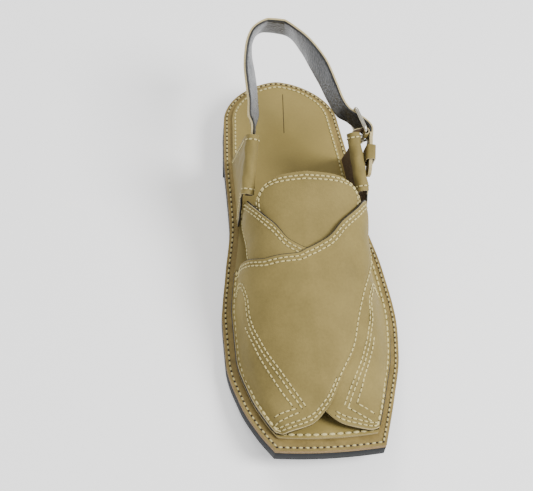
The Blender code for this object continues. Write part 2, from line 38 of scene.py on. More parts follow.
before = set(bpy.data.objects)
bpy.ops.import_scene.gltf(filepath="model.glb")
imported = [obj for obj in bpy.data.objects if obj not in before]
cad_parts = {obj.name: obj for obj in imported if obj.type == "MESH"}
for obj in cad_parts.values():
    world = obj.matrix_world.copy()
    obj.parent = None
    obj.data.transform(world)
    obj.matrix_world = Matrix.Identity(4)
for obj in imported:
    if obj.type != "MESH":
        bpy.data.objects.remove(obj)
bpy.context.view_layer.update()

import math

import bmesh
import bpy
import numpy as np
from bpy.props import FloatProperty, FloatVectorProperty, PointerProperty
from mathutils import Matrix, Vector

MM = 0.001

# Driving sizes, as the solids have them
LENGTH = 285 * MM
BALL_WIDTH = 104.6 * MM
INSTEP_HEIGHT = 61 * MM
HEEL_HEIGHT = 10.1 * MM
TOE_SPRING = 12.4 * MM
TOE_CROWN = 1.6 * MM
RIB_PITCH = 5.2 * MM  # of the tread
RIB_DEPTH = 0.8 * MM
HEEL_BREAST = 5 * MM
OUTSOLE_THICK = 6.8 * MM
MIDSOLE_THICK = 2.6 * MM
INSOLE_THICK = 1.8 * MM
RIM_SIDE = 5.8 * MM
RIM_TOE = 7.8 * MM
UPPER_WALL = 2.0 * MM
STEP = 1.5 * MM  # a little more than in the solids, so that the top panel shows its own edge
TONGUE_WALL = 1.8 * MM
WING_WALL = 1.5 * MM
GAP = 0.3 * MM
TUCK = 0.1 * MM  # how deep one panel beds into the other where they cross
SLEEVE_RADIUS = 3.2 * MM
SLEEVE_TURN = 285
STRAP_THICK = 2.4 * MM
STRAP_WIDTH = 22 * MM
STRAP_NECK = 3.6 * MM
STRAP_NECK_THICK = 2.1 * MM
STRAP_INSERT = 11 * MM
STRAP_SPREAD = 7.6 * MM  # its width just behind the sleeve, where the leather fans out
STRAP_SPREAD_AT = 3.2 * MM
TAIL_WIDTH = 12.5 * MM
TAIL_THICK = 2.0 * MM
TAIL_LENGTH = 26 * MM
TAIL_POINT = 0.45
WIRE = 2.2 * MM
FRAME_WINDOW = 14 * MM
FRAME_CORNER = 2.4 * MM
PRONG = 1.4 * MM
PRONG_ASIDE = 1.6 * MM
PRONG_EYE = 260
PRONG_TIP = 1.5 * MM
KEEPER_WIDTH = 9 * MM
KEEPER_WALL = 1.4 * MM
KEEPER_GAP = 0.5 * MM
KEEPER_SEAM = 0.3 * MM
KEEPER_PLACE = 13 * MM
TAB_WALL = 1.1 * MM
TAB_GAP = 0.45 * MM
TAB_WIDTH = 3.1 * MM
TAB_INSERT = 8 * MM
TAB_SPREAD = 3.8 * MM
TAB_ASIDE = 4.1 * MM
MIDDLE = Vector((1.86, -0.80, 0)) * MM  # of the whole shoe, which the solids have at the origin

OUTLINE = {
    "along": (0.14, 0.28, 0.42, 0.56, 0.68, 0.78, 0.88, 0.95, 1.0),
    "medial": (0.375, 0.396, 0.392, 0.443, 0.482, 0.481, 0.427, 0.353, 0.279),
    "lateral": (0.371, 0.400, 0.426, 0.497, 0.518, 0.489, 0.412, 0.347, 0.298),
}
HEEL_ROUND = 0.14
HEEL_ROUND_POWER = 0.62
UNDERSIDE = {
    "along": (0.0, 0.24, 0.34, 0.48, 0.58, 0.72, 0.80, 0.88, 0.95, 1.0),
    "heel": (1.0, 1.0, 0.86, 0.26, 0.0, 0.0, 0.0, 0.0, 0.0, 0.0),
    "spring": (0.0, 0.0, 0.0, 0.0, 0.0, 0.0, 0.08, 0.34, 0.69, 1.0),
}
HEEL_END = 0.25
RIDGE = {
    "along": (0.38, 0.43, 0.479, 0.535, 0.616, 0.675, 0.746, 0.851, 0.928, 0.97, 1.0),
    "height": (1.29, 1.15, 1.0, 0.87, 0.733, 0.634, 0.515, 0.307, 0.105, 0.041, 0.025),
    "aside": (0.01, 0.005, -0.01, -0.02, -0.03, -0.03, -0.025, -0.015, 0.01, 0.01, 0.01),
}
SECTION = {
    "turn": (0.0, 0.06, 0.12, 0.25, 0.40, 0.55, 0.70, 0.85, 1.0),
    "ankle_medial": (1.0, 0.965, 0.935, 0.915, 0.900, 0.865, 0.74, 0.44, 0.0),
    "ankle_lateral": (1.0, 0.955, 0.915, 0.895, 0.885, 0.855, 0.73, 0.43, 0.0),
    "instep_medial": (1.0, 0.955, 0.912, 0.870, 0.830, 0.765, 0.61, 0.345, 0.0),
    "instep_lateral": (1.0, 0.955, 0.905, 0.825, 0.770, 0.725, 0.62, 0.37, 0.0),
    "instep_up": (0.0, 0.005, 0.05, 0.22, 0.45, 0.67, 0.85, 0.965, 1.0),
    "toe_out": (1.0, 0.960, 0.925, 0.860, 0.755, 0.610, 0.42, 0.215, 0.0),
    "toe_up": (0.0, 0.0, 0.06, 0.26, 0.50, 0.71, 0.875, 0.97, 1.0),
}
ANKLE_FROM, ANKLE_TO = 0.48, 0.57
TOE_FROM, TOE_TO = 0.58, 0.80
CROWN_FROM = 0.90  # where the cut toe starts to bulge
ROW_POWER = 1.6  # crowds a sole's rows towards its round heel
# Where the top panel has climbed onto the under panel, and where it covers it: shares of over
# and of along
STEP_OVER, STEP_ALONG = (0.08, 0.20), (0.49, 0.55)
COVER_OVER, COVER_ALONG = (0.40, 0.50), (0.50, 0.56)
# Soft leather: it lies flat along its seams and swells and ripples between them
SWELL, SWELL_RANGE = 0.35 * MM, (3.2 * MM, 7.5 * MM)
RIPPLE, RIPPLE_RANGE = 0.16 * MM, (2 * MM, 10 * MM)
CRUMPLE = 0.3 * MM  # of the wings
# The tongue's stitch line: its spans round the rounded top, then how its ends run down the sides
TONGUE_SPAN, TONGUE_RISE = 26 * MM, 66 * MM
TONGUE_LINE_DROP, TONGUE_LINE_TURN, TONGUE_LINE_SPREAD = 0.42, 0.62, 1.6
PANEL_SHARES = (0.0, 0.12, 0.24, 0.36, 0.48, 0.60, 0.72, 0.84, 0.93, 1.0)
TOP_PANEL = {
    "share": PANEL_SHARES,
    "free_along": (0.966, 0.972, 0.960, 0.929, 0.873, 0.800, 0.700, 0.610, 0.535, 0.468),
    "free_over": (0.0, 0.150, 0.375, 0.492, 0.592, 0.668, 0.685, 0.745, 0.815, 0.875),
    "rear_along": (0.555, 0.585, 0.612, 0.630, 0.631, 0.605, 0.560, 0.510, 0.484, 0.465),
    "rear_over": (0.0, 0.150, 0.275, 0.370, 0.460, 0.540, 0.595, 0.675, 0.750, 0.805),
}
UNDER_PANEL = {
    "share": PANEL_SHARES,
    "free_along": (0.966, 0.971, 0.960, 0.929, 0.873, 0.800, 0.710, 0.610, 0.535, 0.468),
    "free_over": (0.0, 0.170, 0.385, 0.516, 0.592, 0.655, 0.690, 0.745, 0.805, 0.870),
    "rear_along": (0.535, 0.568, 0.597, 0.618, 0.625, 0.604, 0.560, 0.507, 0.482, 0.465),
    "rear_over": (0.0, 0.130, 0.250, 0.370, 0.470, 0.545, 0.607, 0.692, 0.745, 0.795),
}
TONGUE = {
    "row": (0.0, 0.35, 0.70, 0.84, 0.93, 0.98, 1.0),
    "side_along": (0.700, 0.620, 0.538, 0.507, 0.493, 0.484, 0.480),
    "middle_along": (0.705, 0.628, 0.535, 0.502, 0.488, 0.479, 0.475),
    "half_over": (0.120, 0.160, 0.195, 0.190, 0.155, 0.118, 0.095),
}
WINGS = {
    "medial": {"side": -1, "front": (0.477, 0.935, 0.324), "rear": (0.371, 1.245, 0.280)},
    "lateral": {"side": 1, "front": (0.475, 0.935, 0.343), "rear": (0.369, 1.245, 0.302)},
}
WING_BASE_FRONT = 0.446
WING_BASE_REAR = 0.270
WING_FRONT_SWELL = 0.010
WING_SIDE_SWELL = 0.003
BUCKLE = {"front": (0.362, 1.164, 0.376), "rear": (0.307, 1.215, 0.334)}
TAIL_TIP = (0.446, 0.970, 0.388)
STRAP = {
    "out": (-0.272, -0.252, -0.251, -0.242, -0.222, -0.118, -0.007, 0.088, 0.152, 0.200, 0.234,
            0.264),
    "along": (0.324, 0.275, 0.205, 0.135, 0.080, 0.036, 0.041, 0.080, 0.129, 0.180, 0.238, 0.284),
    "up": (1.217, 1.211, 1.234, 1.252, 1.272, 1.308, 1.300, 1.270, 1.250, 1.234, 1.219, 1.212),
    "width": (0.50, 0.66, 0.80, 0.90, 0.97, 1.0, 1.0, 0.97, 0.88, 0.79, 0.69, 0.62),
    "lean": (18, 24, 24, 15, -3, -31, -29, -16, -1, 8, 10, 6),
}

# The maker's pencil line on the insole's heel: shares of LENGTH, then of BALL_WIDTH
HEEL_MARK = ((0.052, 0.182), (0.032, 0.004))
HEEL_MARK_WIDE = 0.44 * MM

HAIR = 0.05 * MM  # how far stitches lie above the sole, and the floor below it
EDGE_ROUND, FINE_ROUND, TAB_ROUND = 0.35 * MM, 0.3 * MM, 0.2 * MM  # how much edges are rounded
LINING_END = 2 * MM  # how far the strap's lining goes on past the buckle's front bar

# Black cords which stand proud of their edges: black edge paint on the wings' ends, partly edge
# paint
# and partly painted shadow on the panels' rear edges, and painted shadow under the panels' foot
# margins
REAR_LIP, MARGIN_SHADOW_LIP, WING_LIP = 0.6 * MM, 0.55 * MM, 0.55 * MM

# Thread work. A bead's and a hole's heights are shares of the thread's thickness and of the
# hole's radius. An inset is how far a row lies inside its edge; the sole has one for its
# sides and one for its toe.
BEAD_HEIGHT, BEAD_LIFT, HOLE_HEIGHT = 0.42, 0.125, 0.35
STITCH_STEP = 0.3 * MM  # to either side of a stitch, to find its direction
WELT_INSETS = 2.0 * MM, 2.2 * MM
WELT_THREAD, WELT_SHARE, WELT_HOLE = 1.25 * MM, 0.66, 0.72 * MM
INNER_INSETS = RIM_SIDE + 1.7 * MM, RIM_TOE + 2.0 * MM
HEEL_ROW_END = 0.44  # where the heel's inner row passes under the wings, share of LENGTH
HEEL_ROW_PITCH, HEEL_ROW_THREAD = 0.85, 1.3 * MM  # the pitch is a share of the inner pitch
TOE_ROW_PITCH, TOE_ROW_THREAD = 4.6 * MM, 1.7 * MM
FOOT_INSET, FOOT_THREAD = 1.9 * MM, 1.5 * MM
SEAM_INSETS = 2.0 * MM, 4.3 * MM
TONGUE_INSETS = 2.2 * MM, 4.4 * MM
CRESCENT_ROWS = 2.3 * MM  # between the two rows of a crescent
# Across a wing: the place along it, then from and to on the way up its wall and round its sleeve
HEM_ROWS = ((0.085, 0.5, 0.97), (0.915, 0.5, 0.97), (0.075, 0.05, 0.47), (0.93, 0.05, 0.47))
# Along the strap: shares of its width, the sewn shares of its length, share of the seam thread
STRAP_ROWS_AT, STRAP_SEWN, STRAP_THREAD = (0.09, 0.19, 0.81, 0.91), (0.10, 0.80), 0.9
FAR_INSIDE = 20 * MM  # far enough from a seam for the leather's whole swell

# Curved rows of stitches on the panels: (along, over) places on the last, toe end last. The
# crescent, which has two rows, then the short one inside it, then the two that close them.
TOP_CURVES = (
    ((0.632, 0.070), (0.637, 0.150), (0.652, 0.215), (0.684, 0.232), (0.725, 0.218),
     (0.791, 0.253), (0.852, 0.308), (0.923, 0.372)),
    ((0.735, 0.180), (0.761, 0.200), (0.847, 0.258), (0.918, 0.314)),
    ((0.924, 0.327), (0.930, 0.235), (0.935, 0.150)),
    ((0.933, 0.335), (0.945, 0.200), (0.953, 0.064)),
)
UNDER_CURVES = (
    ((0.645, 0.930), (0.650, 0.850), (0.666, 0.765), (0.700, 0.735), (0.742, 0.747),
     (0.831, 0.711), (0.924, 0.611)),
    ((0.775, 0.775), (0.807, 0.760), (0.870, 0.718), (0.916, 0.680)),
    ((0.924, 0.611), (0.942, 0.720), (0.955, 0.836)),
    ((0.918, 0.688), (0.928, 0.765), (0.936, 0.844)),
)

# Softboxes aimed at the shoe: place and diameter in metres, then share of the light's strength
LIGHTS = {
    "key": ((1.0, -0.6, 1.2), 0.8, 4.2),
    "fill": ((-1.1, -0.9, 1.2), 1.3, 0.2),
    "back": ((-0.4, 1.2, 1.5), 1.0, 1.6),
}
FLOOR_SIZE = 8.0
FLOOR_GLOW = 0.5
SKY = 0.6

# Camera, as it was fitted to the sole's outline. The picture is 533 pixels wide.
PICTURE_WIDTH = 533
CAMERA_PIXELS = 1019.3  # focal length in pixels
CAMERA_PLACE = Vector((-96.15, -385.46, 512.11)) * MM
CAMERA_AZIMUTH = -11.211
CAMERA_ELEVATION = 51.613
CAMERA_ROLL = 7.259
SENSOR = 36.0

# Which side of a sheet a face is on: the slots of every leather piece
GRAIN, EDGE_TOP, EDGE_LOW, FLESH = range(4)


def linear(code):
    """A linear RGBA colour from an sRGB hex value."""
    parts = [int(code[i : i + 2], 16) / 255 for i in (1, 3, 5)]
    return tuple(c / 12.92 if c <= 0.04045 else ((c + 0.055) / 1.055) ** 2.4 for c in parts) + (1,)


# The last and the sheets on it: the solids' own surfaces, for whole rows of points at once


def curve(rows, column, at, key="along"):
    """A table's column at these places, on a smooth curve that never overshoots."""
    xs, ys = np.array(rows[key], float), np.array(rows[column], float)
    slope = np.diff(ys) / np.diff(xs)
    product = slope[:-1] * slope[1:]
    total = np.where(product > 0, slope[:-1] + slope[1:], 1)
    inner = np.where(product > 0, 2 * product / total, 0)
    tangent = np.concatenate([slope[:1], inner, slope[-1:]])
    at = np.clip(at, xs[0], xs[-1])
    i = np.clip(np.searchsorted(xs, at) - 1, 0, len(xs) - 2)
    span = xs[i + 1] - xs[i]
    t = (at - xs[i]) / span
    return (
        ys[i] * (1 + 2 * t) * (1 - t) ** 2
        + tangent[i] * span * t * (1 - t) ** 2
        + ys[i + 1] * t * t * (3 - 2 * t)
        + tangent[i + 1] * span * t * t * (t - 1)
    )


def ease(low, high, x):
    t = np.clip((x - low) / (high - low), 0, 1)
    return t * t * (3 - 2 * t)


def mix(a, b, t):
    return a + (b - a) * t


def point(x, y, z):
    return np.stack(np.broadcast_arrays(x, y, z), axis=-1)


def unit(v):
    return v / np.maximum(np.linalg.norm(v, axis=-1, keepdims=True), 1e-12)


def length_along(line):
    return np.concatenate([[0], np.cumsum(np.linalg.norm(np.diff(line, axis=0), axis=1))])


def y_at(along):
    return LENGTH * (0.5 - along)


def half_width(side, along, inset=0.0):
    def width(at):
        medial = curve(OUTLINE, "medial", at)
        return BALL_WIDTH * np.where(side < 0, medial, curve(OUTLINE, "lateral", at))

    back = np.clip((HEEL_ROUND - along) / (HEEL_ROUND - inset / LENGTH), 0, 1)
    heel = (width(HEEL_ROUND) - inset) * (1 - back * back) ** HEEL_ROUND_POWER
    ahead, behind = np.minimum(1, along + 0.002), np.maximum(HEEL_ROUND, along - 0.002)
    tilt = (width(ahead) - width(behind)) / (LENGTH * np.maximum(ahead - behind, 1e-6))
    rest = width(along) - inset * np.sqrt(1 + tilt * tilt)
    return np.where(along < HEEL_ROUND, heel, rest)


def underside(along):
    heel = (HEEL_HEIGHT + GAP) * curve(UNDERSIDE, "heel", along)
    return heel + TOE_SPRING * curve(UNDERSIDE, "spring", along)


def midsole_bottom(along):
    return underside(along) + OUTSOLE_THICK + GAP


def rim_top(along):
    return midsole_bottom(along) + MIDSOLE_THICK


def insole_top(along):
    return rim_top(along) + GAP + INSOLE_THICK


def last_point(along, over):
    medial = over < 0.5
    turn = np.where(medial, 2 * over, 2 * (1 - over))

    def section(name):
        sides = [curve(SECTION, name + s, turn, "turn") for s in ("_medial", "_lateral")]
        return np.where(medial, *sides)

    toeward = ease(TOE_FROM, TOE_TO, along)
    out = mix(section("ankle"), section("instep"), ease(ANKLE_FROM, ANKLE_TO, along))
    out = mix(out, curve(SECTION, "toe_out", turn, "turn"), toeward)
    up = curve(SECTION, "instep_up", turn, "turn")
    up = mix(up, curve(SECTION, "toe_up", turn, "turn"), toeward)
    side = np.where(medial, -1, 1)
    edge = side * half_width(side, along, RIM_SIDE)
    x = mix(BALL_WIDTH * curve(RIDGE, "aside", along), edge, out)
    z = insole_top(along) + GAP + up * INSTEP_HEIGHT * curve(RIDGE, "height", along)
    return point(x, y_at(along), z)


def on_last(along, over, lift):
    step = 0.003
    across = last_point(along, np.minimum(1, over + step))
    across = across - last_point(along, np.maximum(0, over - step))
    forward = last_point(along + step, over) - last_point(along - step, over)
    normal = unit(np.cross(forward, across))
    return last_point(along, over) + normal * np.asarray(lift)[..., None]


def panel_place(rows, share, back):
    return [mix(curve(rows, "free_" + name, share, "share"),
                curve(rows, "rear_" + name, share, "share"), back) for name in ("along", "over")]


def puff(along, over, edge_distance):
    """Soft leather: it lies flat along its seams and swells a little between them."""
    wave = np.sin(along * 61 + over * 9) * np.sin(over * 17 - along * 23)
    wave = wave + 0.6 * np.sin(along * 117 - over * 31 + 1.3)
    return (SWELL * ease(*SWELL_RANGE, edge_distance)
            + RIPPLE * wave * ease(*RIPPLE_RANGE, edge_distance))


def panel_edge_distance(rows, share, back):
    """How far a place in a panel is from the nearer of its two long edges."""
    free = last_point(*panel_place(rows, share, np.zeros_like(share)))
    rear = last_point(*panel_place(rows, share, np.ones_like(share)))
    return np.minimum(back, 1 - back) * np.linalg.norm(rear - free, axis=-1)


def step_share(along, over):
    """How far the top panel has climbed onto the under panel, from 0 to 1."""
    return ease(*STEP_OVER, over) * ease(*STEP_ALONG, along)


def top_panel(u, v, w):
    along, over = panel_place(TOP_PANEL, u, v)
    step = step_share(along, over)
    low = step * (UPPER_WALL - TUCK)
    high = UPPER_WALL + step * STEP + puff(along, over, panel_edge_distance(TOP_PANEL, u, v))
    return on_last(along, over, mix(low, high, w))


def under_panel(u, v, w):
    along, over = panel_place(UNDER_PANEL, u, v)
    swell = puff(along, over, panel_edge_distance(UNDER_PANEL, u, v))
    covered = ease(*COVER_OVER, over) * ease(*COVER_ALONG, along)
    lift = w * (UPPER_WALL + swell * (1 - covered)) - TUCK * covered
    return on_last(along, 1 - over, lift)


def tongue_sheet(u, v, w):
    aside = 2 * u - 1
    side = curve(TONGUE, "side_along", v, "row")
    along = mix(curve(TONGUE, "middle_along", v, "row"), side, aside * aside)
    over = 0.5 + aside * curve(TONGUE, "half_over", v, "row")
    return on_last(along, over, -GAP - (1 - w) * TONGUE_WALL)


def tread(u, along):
    """Depth of the moulded ribs across the underside, fading out before its edges."""
    wave = np.sin(2 * np.pi * along * LENGTH / RIB_PITCH)
    inside = ease(0.0, 0.12, 1 - np.abs(u))
    return RIB_DEPTH * ease(-0.35, 0.35, wave) * inside


def sole_layer(low, high, inset_side=0.0, inset_toe=0.0, ribs=0.0):
    def place(u, v, w):
        u = 2 * u - 1
        along = mix(inset_side / LENGTH, 1 - inset_toe / LENGTH, v**ROW_POWER)
        x = u * half_width(np.where(u < 0, -1, 1), along, inset_side)
        crown = TOE_CROWN * (1 - u * u) * ease(CROWN_FROM, 1.0, v)
        bottom = low(along) + ribs * tread(u, along)
        return point(x, y_at(along) - crown, mix(bottom, high(along), w))

    return place


def heel_block(u, v, w):
    aside = 2 * u - 1
    along = (HEEL_END - HEEL_BREAST / LENGTH * (1 - aside * aside)) * v**ROW_POWER
    x = aside * half_width(np.where(aside < 0, -1, 1), along)
    return point(x, y_at(along), mix(tread(aside, along), underside(along) - GAP, w))


def place_of(shares, side=1):
    along, up, out = shares
    return np.array([side * out * BALL_WIDTH, y_at(along), up * INSTEP_HEIGHT])


def sleeve_point(wing, t):
    front, rear = place_of(wing["front"], wing["side"]), place_of(wing["rear"], wing["side"])
    return front + (rear - front) * np.asarray(t)[..., None]


def sleeve_frame(wing):
    axis = unit(sleeve_point(wing, 1) - sleeve_point(wing, 0))
    outward = np.array([wing["side"], 0.0, 0.0])
    outward = unit(outward - axis * (outward @ axis))
    upward = np.cross(axis, outward)
    return axis, outward, upward * np.sign(upward[2])


def wing_surface(wing, p, t):
    _, outward, upward = sleeve_frame(wing)
    centre = sleeve_point(wing, t)
    side = wing["side"]
    angle = np.radians(SLEEVE_TURN) * np.maximum(p - 0.5, 0)[..., None] / 0.5
    rolled = centre + (outward * np.cos(angle) + upward * np.sin(angle)) * SLEEVE_RADIUS
    climb = np.minimum(p / 0.5, 1)
    along = mix(WING_BASE_FRONT, WING_BASE_REAR, t)
    x = side * (half_width(side, along, RIM_SIDE) + WING_WALL / 2)
    foot = point(x, y_at(along), insole_top(along) + GAP)
    top = centre + outward * SLEEVE_RADIUS
    wall = foot + (top - foot) * climb[..., None]
    swell = np.sin(np.pi * climb)
    wall[..., 0] += side * swell * WING_SIDE_SWELL * BALL_WIDTH
    wall[..., 1] -= (1 - t) * swell * WING_FRONT_SWELL * LENGTH
    return np.where((p > 0.5)[..., None], rolled, wall)


def wing_sheet(wing):
    def place(u, v, w):
        def at(a, b):
            return wing_surface(wing, np.clip(a, 0, 1), np.clip(b, 0, 1))

        step = 0.004
        across = at(u + step, v) - at(u - step, v)
        normal = unit(np.cross(across, at(u, v + step) - at(u, v - step)))
        crumple = np.sin(v * 19 + u * 11) * np.sin(u * 23 - v * 5)
        crumple = crumple * np.sin(np.pi * np.clip(u, 0, 1))
        lift = (w - 0.5) * WING_WALL + CRUMPLE * crumple
        return at(u, v) + normal * lift[..., None]

    return place


def buckle_axes():
    """Middle of the frame, its length, its rearward axis, outward normal and upward side."""
    front, rear = place_of(BUCKLE["front"]), place_of(BUCKLE["rear"])
    axis = unit(rear - front)
    outward = np.array([1.0, 0.0, 0.0])
    outward = unit(outward - axis * (outward @ axis))
    length = np.linalg.norm(rear - front)
    return (front + rear) / 2, length, axis, outward, np.cross(axis, -outward)


def tail_line():
    lift = WIRE / 2 + PRONG + 2 * GAP + TAIL_THICK / 2
    start = place_of(BUCKLE["front"]) + buckle_axes()[3] * lift
    return start, unit(place_of(TAIL_TIP) - start)


def strap_rows():
    """Rows (middle, width, lean, wall) of the strap, from the medial sleeve to its tip."""
    mouth = sleeve_point(WINGS["medial"], 1)
    axis = sleeve_frame(WINGS["medial"])[0]
    rows = [(mouth + axis * reach, STRAP_NECK, 0.0, STRAP_NECK_THICK)
            for reach in (-STRAP_INSERT, -STRAP_INSERT / 2, 0.0)]
    rows.append((mouth + axis * STRAP_SPREAD_AT, STRAP_SPREAD, 4.0, STRAP_NECK_THICK))
    for out, along, up, width, lean in zip(*STRAP.values()):
        rows.append((place_of((along, up, out)), width * STRAP_WIDTH, lean, STRAP_THICK))
    middle, length, axis, outward, _ = buckle_axes()
    under_bar = middle + axis * length / 2 - outward * (WIRE / 2 + 2 * GAP + TAIL_THICK / 2)
    rows.append((under_bar, TAIL_WIDTH, -7.0, TAIL_THICK))
    start, direction = tail_line()
    for reach in (0.0, 0.2, 0.5, 0.85):
        rows.append((start + direction * TAIL_LENGTH * reach, TAIL_WIDTH, 0.0, TAIL_THICK))
    tip = start + direction * TAIL_LENGTH
    rows.append((tip, TAIL_WIDTH * TAIL_POINT, 0.0, TAIL_THICK))
    return rows


def tab_rows():
    """Rows of the tab, from inside the lateral sleeve out and round the front bar."""
    mouth = sleeve_point(WINGS["lateral"], 1)
    inward = sleeve_frame(WINGS["lateral"])[0]
    middle, length, axis, outward, upward = buckle_axes()
    bar = middle - axis * length / 2 + upward * TAB_ASIDE
    radius = WIRE / 2 + TAB_GAP + TAB_WALL / 2
    rows = [(mouth + inward * reach, TAB_WIDTH, 0.0, TAB_WALL)
            for reach in (-TAB_INSERT, -TAB_INSERT / 2, 0.0)]
    whole = bar + axis * radius - mouth
    ahead = inward * (whole @ inward)
    for turn in np.radians((22.5, 45.0, 67.5)):
        bend = mouth + (whole - ahead) * (1 - math.cos(turn)) + ahead * math.sin(turn)
        rows.append((bend, TAB_WIDTH, 0.0, TAB_WALL))
    for turn in range(0, 211, 30):
        around = axis * math.cos(math.radians(turn)) + outward * math.sin(math.radians(turn))
        rows.append((bar + around * radius, TAB_SPREAD, 0.0, TAB_WALL))
    return rows


def ribbon(rows):
    """A ribbon along rows of (middle, width, lean, wall): w 1 is its outer side."""
    middles = np.array([row[0] for row in rows])
    columns = {"distance": length_along(middles)}
    columns.update(zip("xyz", middles.T))
    for i, name in enumerate(("width", "lean", "wall")):
        columns[name] = [row[i + 1] for row in rows]
    total = columns["distance"][-1]

    def at(name, distance):
        return curve(columns, name, distance, "distance")

    def middle_at(distance):
        return point(*(at(name, distance) for name in "xyz"))

    def frame_at(distance):
        step = 0.5 * MM
        tangent = unit(middle_at(np.minimum(total, distance + step))
                       - middle_at(np.maximum(0, distance - step)))
        up = np.broadcast_to([0.0, 0.0, 1.0], tangent.shape)
        outward = unit(np.cross(up, tangent))
        lean = np.radians(at("lean", distance))[..., None]
        across = up * np.cos(lean) + outward * np.sin(lean)
        across = unit(across - tangent * (across * tangent).sum(-1, keepdims=True))
        return across, np.cross(across, tangent)

    def place(u, v, w):
        distance = v * total
        across, normal = frame_at(distance)
        aside = ((u - 0.5) * at("width", distance))[..., None]
        lift = ((w - 0.5) * at("wall", distance))[..., None]
        return middle_at(distance) + across * aside + normal * lift

    return place


def loop_point(wide, high, corner, t):
    """One point on a rounded rectangle, t from 0 to 1 along it."""
    straight = [wide - 2 * corner, high - 2 * corner] * 2
    quarter = math.pi * corner / 2
    rest, x, y, heading = t * (sum(straight) + 4 * quarter), -straight[0] / 2, -high / 2, 0.0
    for side in straight:
        run = min(rest, side)
        x, y, rest = x + run * math.cos(heading), y + run * math.sin(heading), rest - run
        turn = min(rest, quarter) / corner
        x += corner * (math.sin(heading + turn) - math.sin(heading))
        y += corner * (math.cos(heading) - math.cos(heading + turn))
        rest -= min(rest, quarter)
        heading += math.pi / 2
    return x, y


def rounded_loop(wide, high, corner, count):
    """Points on a rounded rectangle, from the start of its long lower side."""
    shares = np.linspace(0, 1, count, endpoint=False)
    return np.array([loop_point(wide, high, corner, t) for t in shares])


def keeper_sheet(u, v, w):
    """The keeper: a strip round the tail whose ends meet on the side towards the foot."""
    start, direction = tail_line()
    outward = unit(np.cross([0.0, 0.0, 1.0], direction))
    across = np.cross(direction, outward)
    found = []
    for share, layer in zip(u, w):
        margin = KEEPER_GAP + layer * KEEPER_WALL
        wide, high = TAIL_WIDTH + 2 * margin, TAIL_THICK + 2 * margin
        corner = margin
        seam = KEEPER_SEAM / (2 * wide)
        t = mix(seam, 1 - seam, share) + 0.5 * (wide - 2 * margin) / (2 * (wide + high))
        found.append(loop_point(wide, high, corner, t % 1))
    x, y = np.array(found).T
    middle = start + direction * (KEEPER_PLACE + (v - 0.5) * KEEPER_WIDTH)[..., None]
    return middle + across * x[..., None] + outward * y[..., None]


# Materials

FLECK = 1.6  # millimetres across, of the leather's fine specks


def node(tree, kind, inputs=(), **settings):
    """Adds a shader node with its settings; inputs maps a socket to a value or an output."""
    made = tree.nodes.new(kind)
    for name, value in settings.items():
        setattr(made, name, value)
    for socket, value in dict(inputs).items():
        if isinstance(value, bpy.types.NodeSocket):
            tree.links.new(value, made.inputs[socket])
        else:
            made.inputs[socket].default_value = value
    return made


def blank(name):
    """Makes a material, or empties the one of this name. It gives its tree and its shader."""
    made = bpy.data.materials.get(name) or bpy.data.materials.new(name)
    made.use_nodes = True
    tree = made.node_tree
    tree.nodes.clear()
    shader = node(tree, "ShaderNodeBsdfPrincipled")
    node(tree, "ShaderNodeOutputMaterial", {"Surface": shader.outputs["BSDF"]})
    return tree, shader


def per_mm(size):
    """A texture's scale for features this many millimetres across."""
    return 1000 / size


def leather(name, colour, spread, roughness, grain, depth, mottle=28, shine=0.14, speck=0.22):
    """Smooth full-grain leather, dyed and waxed. It gives a soft sheen, fine pores and patches
    of a slightly deeper colour where the wax sits. spread: how far the patches stray."""
    tree, shader = blank(name)
    place = node(tree, "ShaderNodeTexCoord").outputs["Object"]
    cloud = node(tree, "ShaderNodeTexNoise", {"Vector": place, "Scale": per_mm(mottle),
                                              "Detail": 4.0, "Roughness": 0.55})
    fleck = node(tree, "ShaderNodeTexNoise", {"Vector": place, "Scale": per_mm(FLECK),
                                              "Detail": 2.0})
    patches = node(tree, "ShaderNodeMix", {"Factor": speck, "A": cloud.outputs["Fac"],
                                           "B": fleck.outputs["Fac"]})
    ramp = node(tree, "ShaderNodeValToRGB", {"Fac": patches.outputs["Result"]})
    shares = (1 - spread, 1 + spread)
    for stop, position, share in zip(ramp.color_ramp.elements, (0.30, 0.70), shares):
        stop.position, stop.color = position, [min(1, part * share) for part in colour]
    pores = node(tree, "ShaderNodeTexVoronoi", {"Vector": place, "Scale": per_mm(grain)})
    crease = node(tree, "ShaderNodeTexNoise", {"Vector": place, "Scale": per_mm(grain * 6),
                                               "Detail": 3.0})
    height = node(tree, "ShaderNodeMix", {"Factor": 0.5, "A": pores.outputs["Distance"],
                                          "B": crease.outputs["Fac"]})
    bump = node(tree, "ShaderNodeBump", {"Height": height.outputs["Result"],
                                         "Strength": 0.35, "Distance": depth * MM})
    gloss = node(tree, "ShaderNodeMapRange", {"Value": cloud.outputs["Fac"], "From Min": 0.3,
                                              "From Max": 0.7, "To Min": roughness - 0.06,
                                              "To Max": roughness + 0.06})
    tree.links.new(ramp.outputs["Color"], shader.inputs["Base Color"])
    tree.links.new(gloss.outputs["Result"], shader.inputs["Roughness"])
    tree.links.new(bump.outputs["Normal"], shader.inputs["Normal"])
    shader.inputs["Specular IOR Level"].default_value = shine


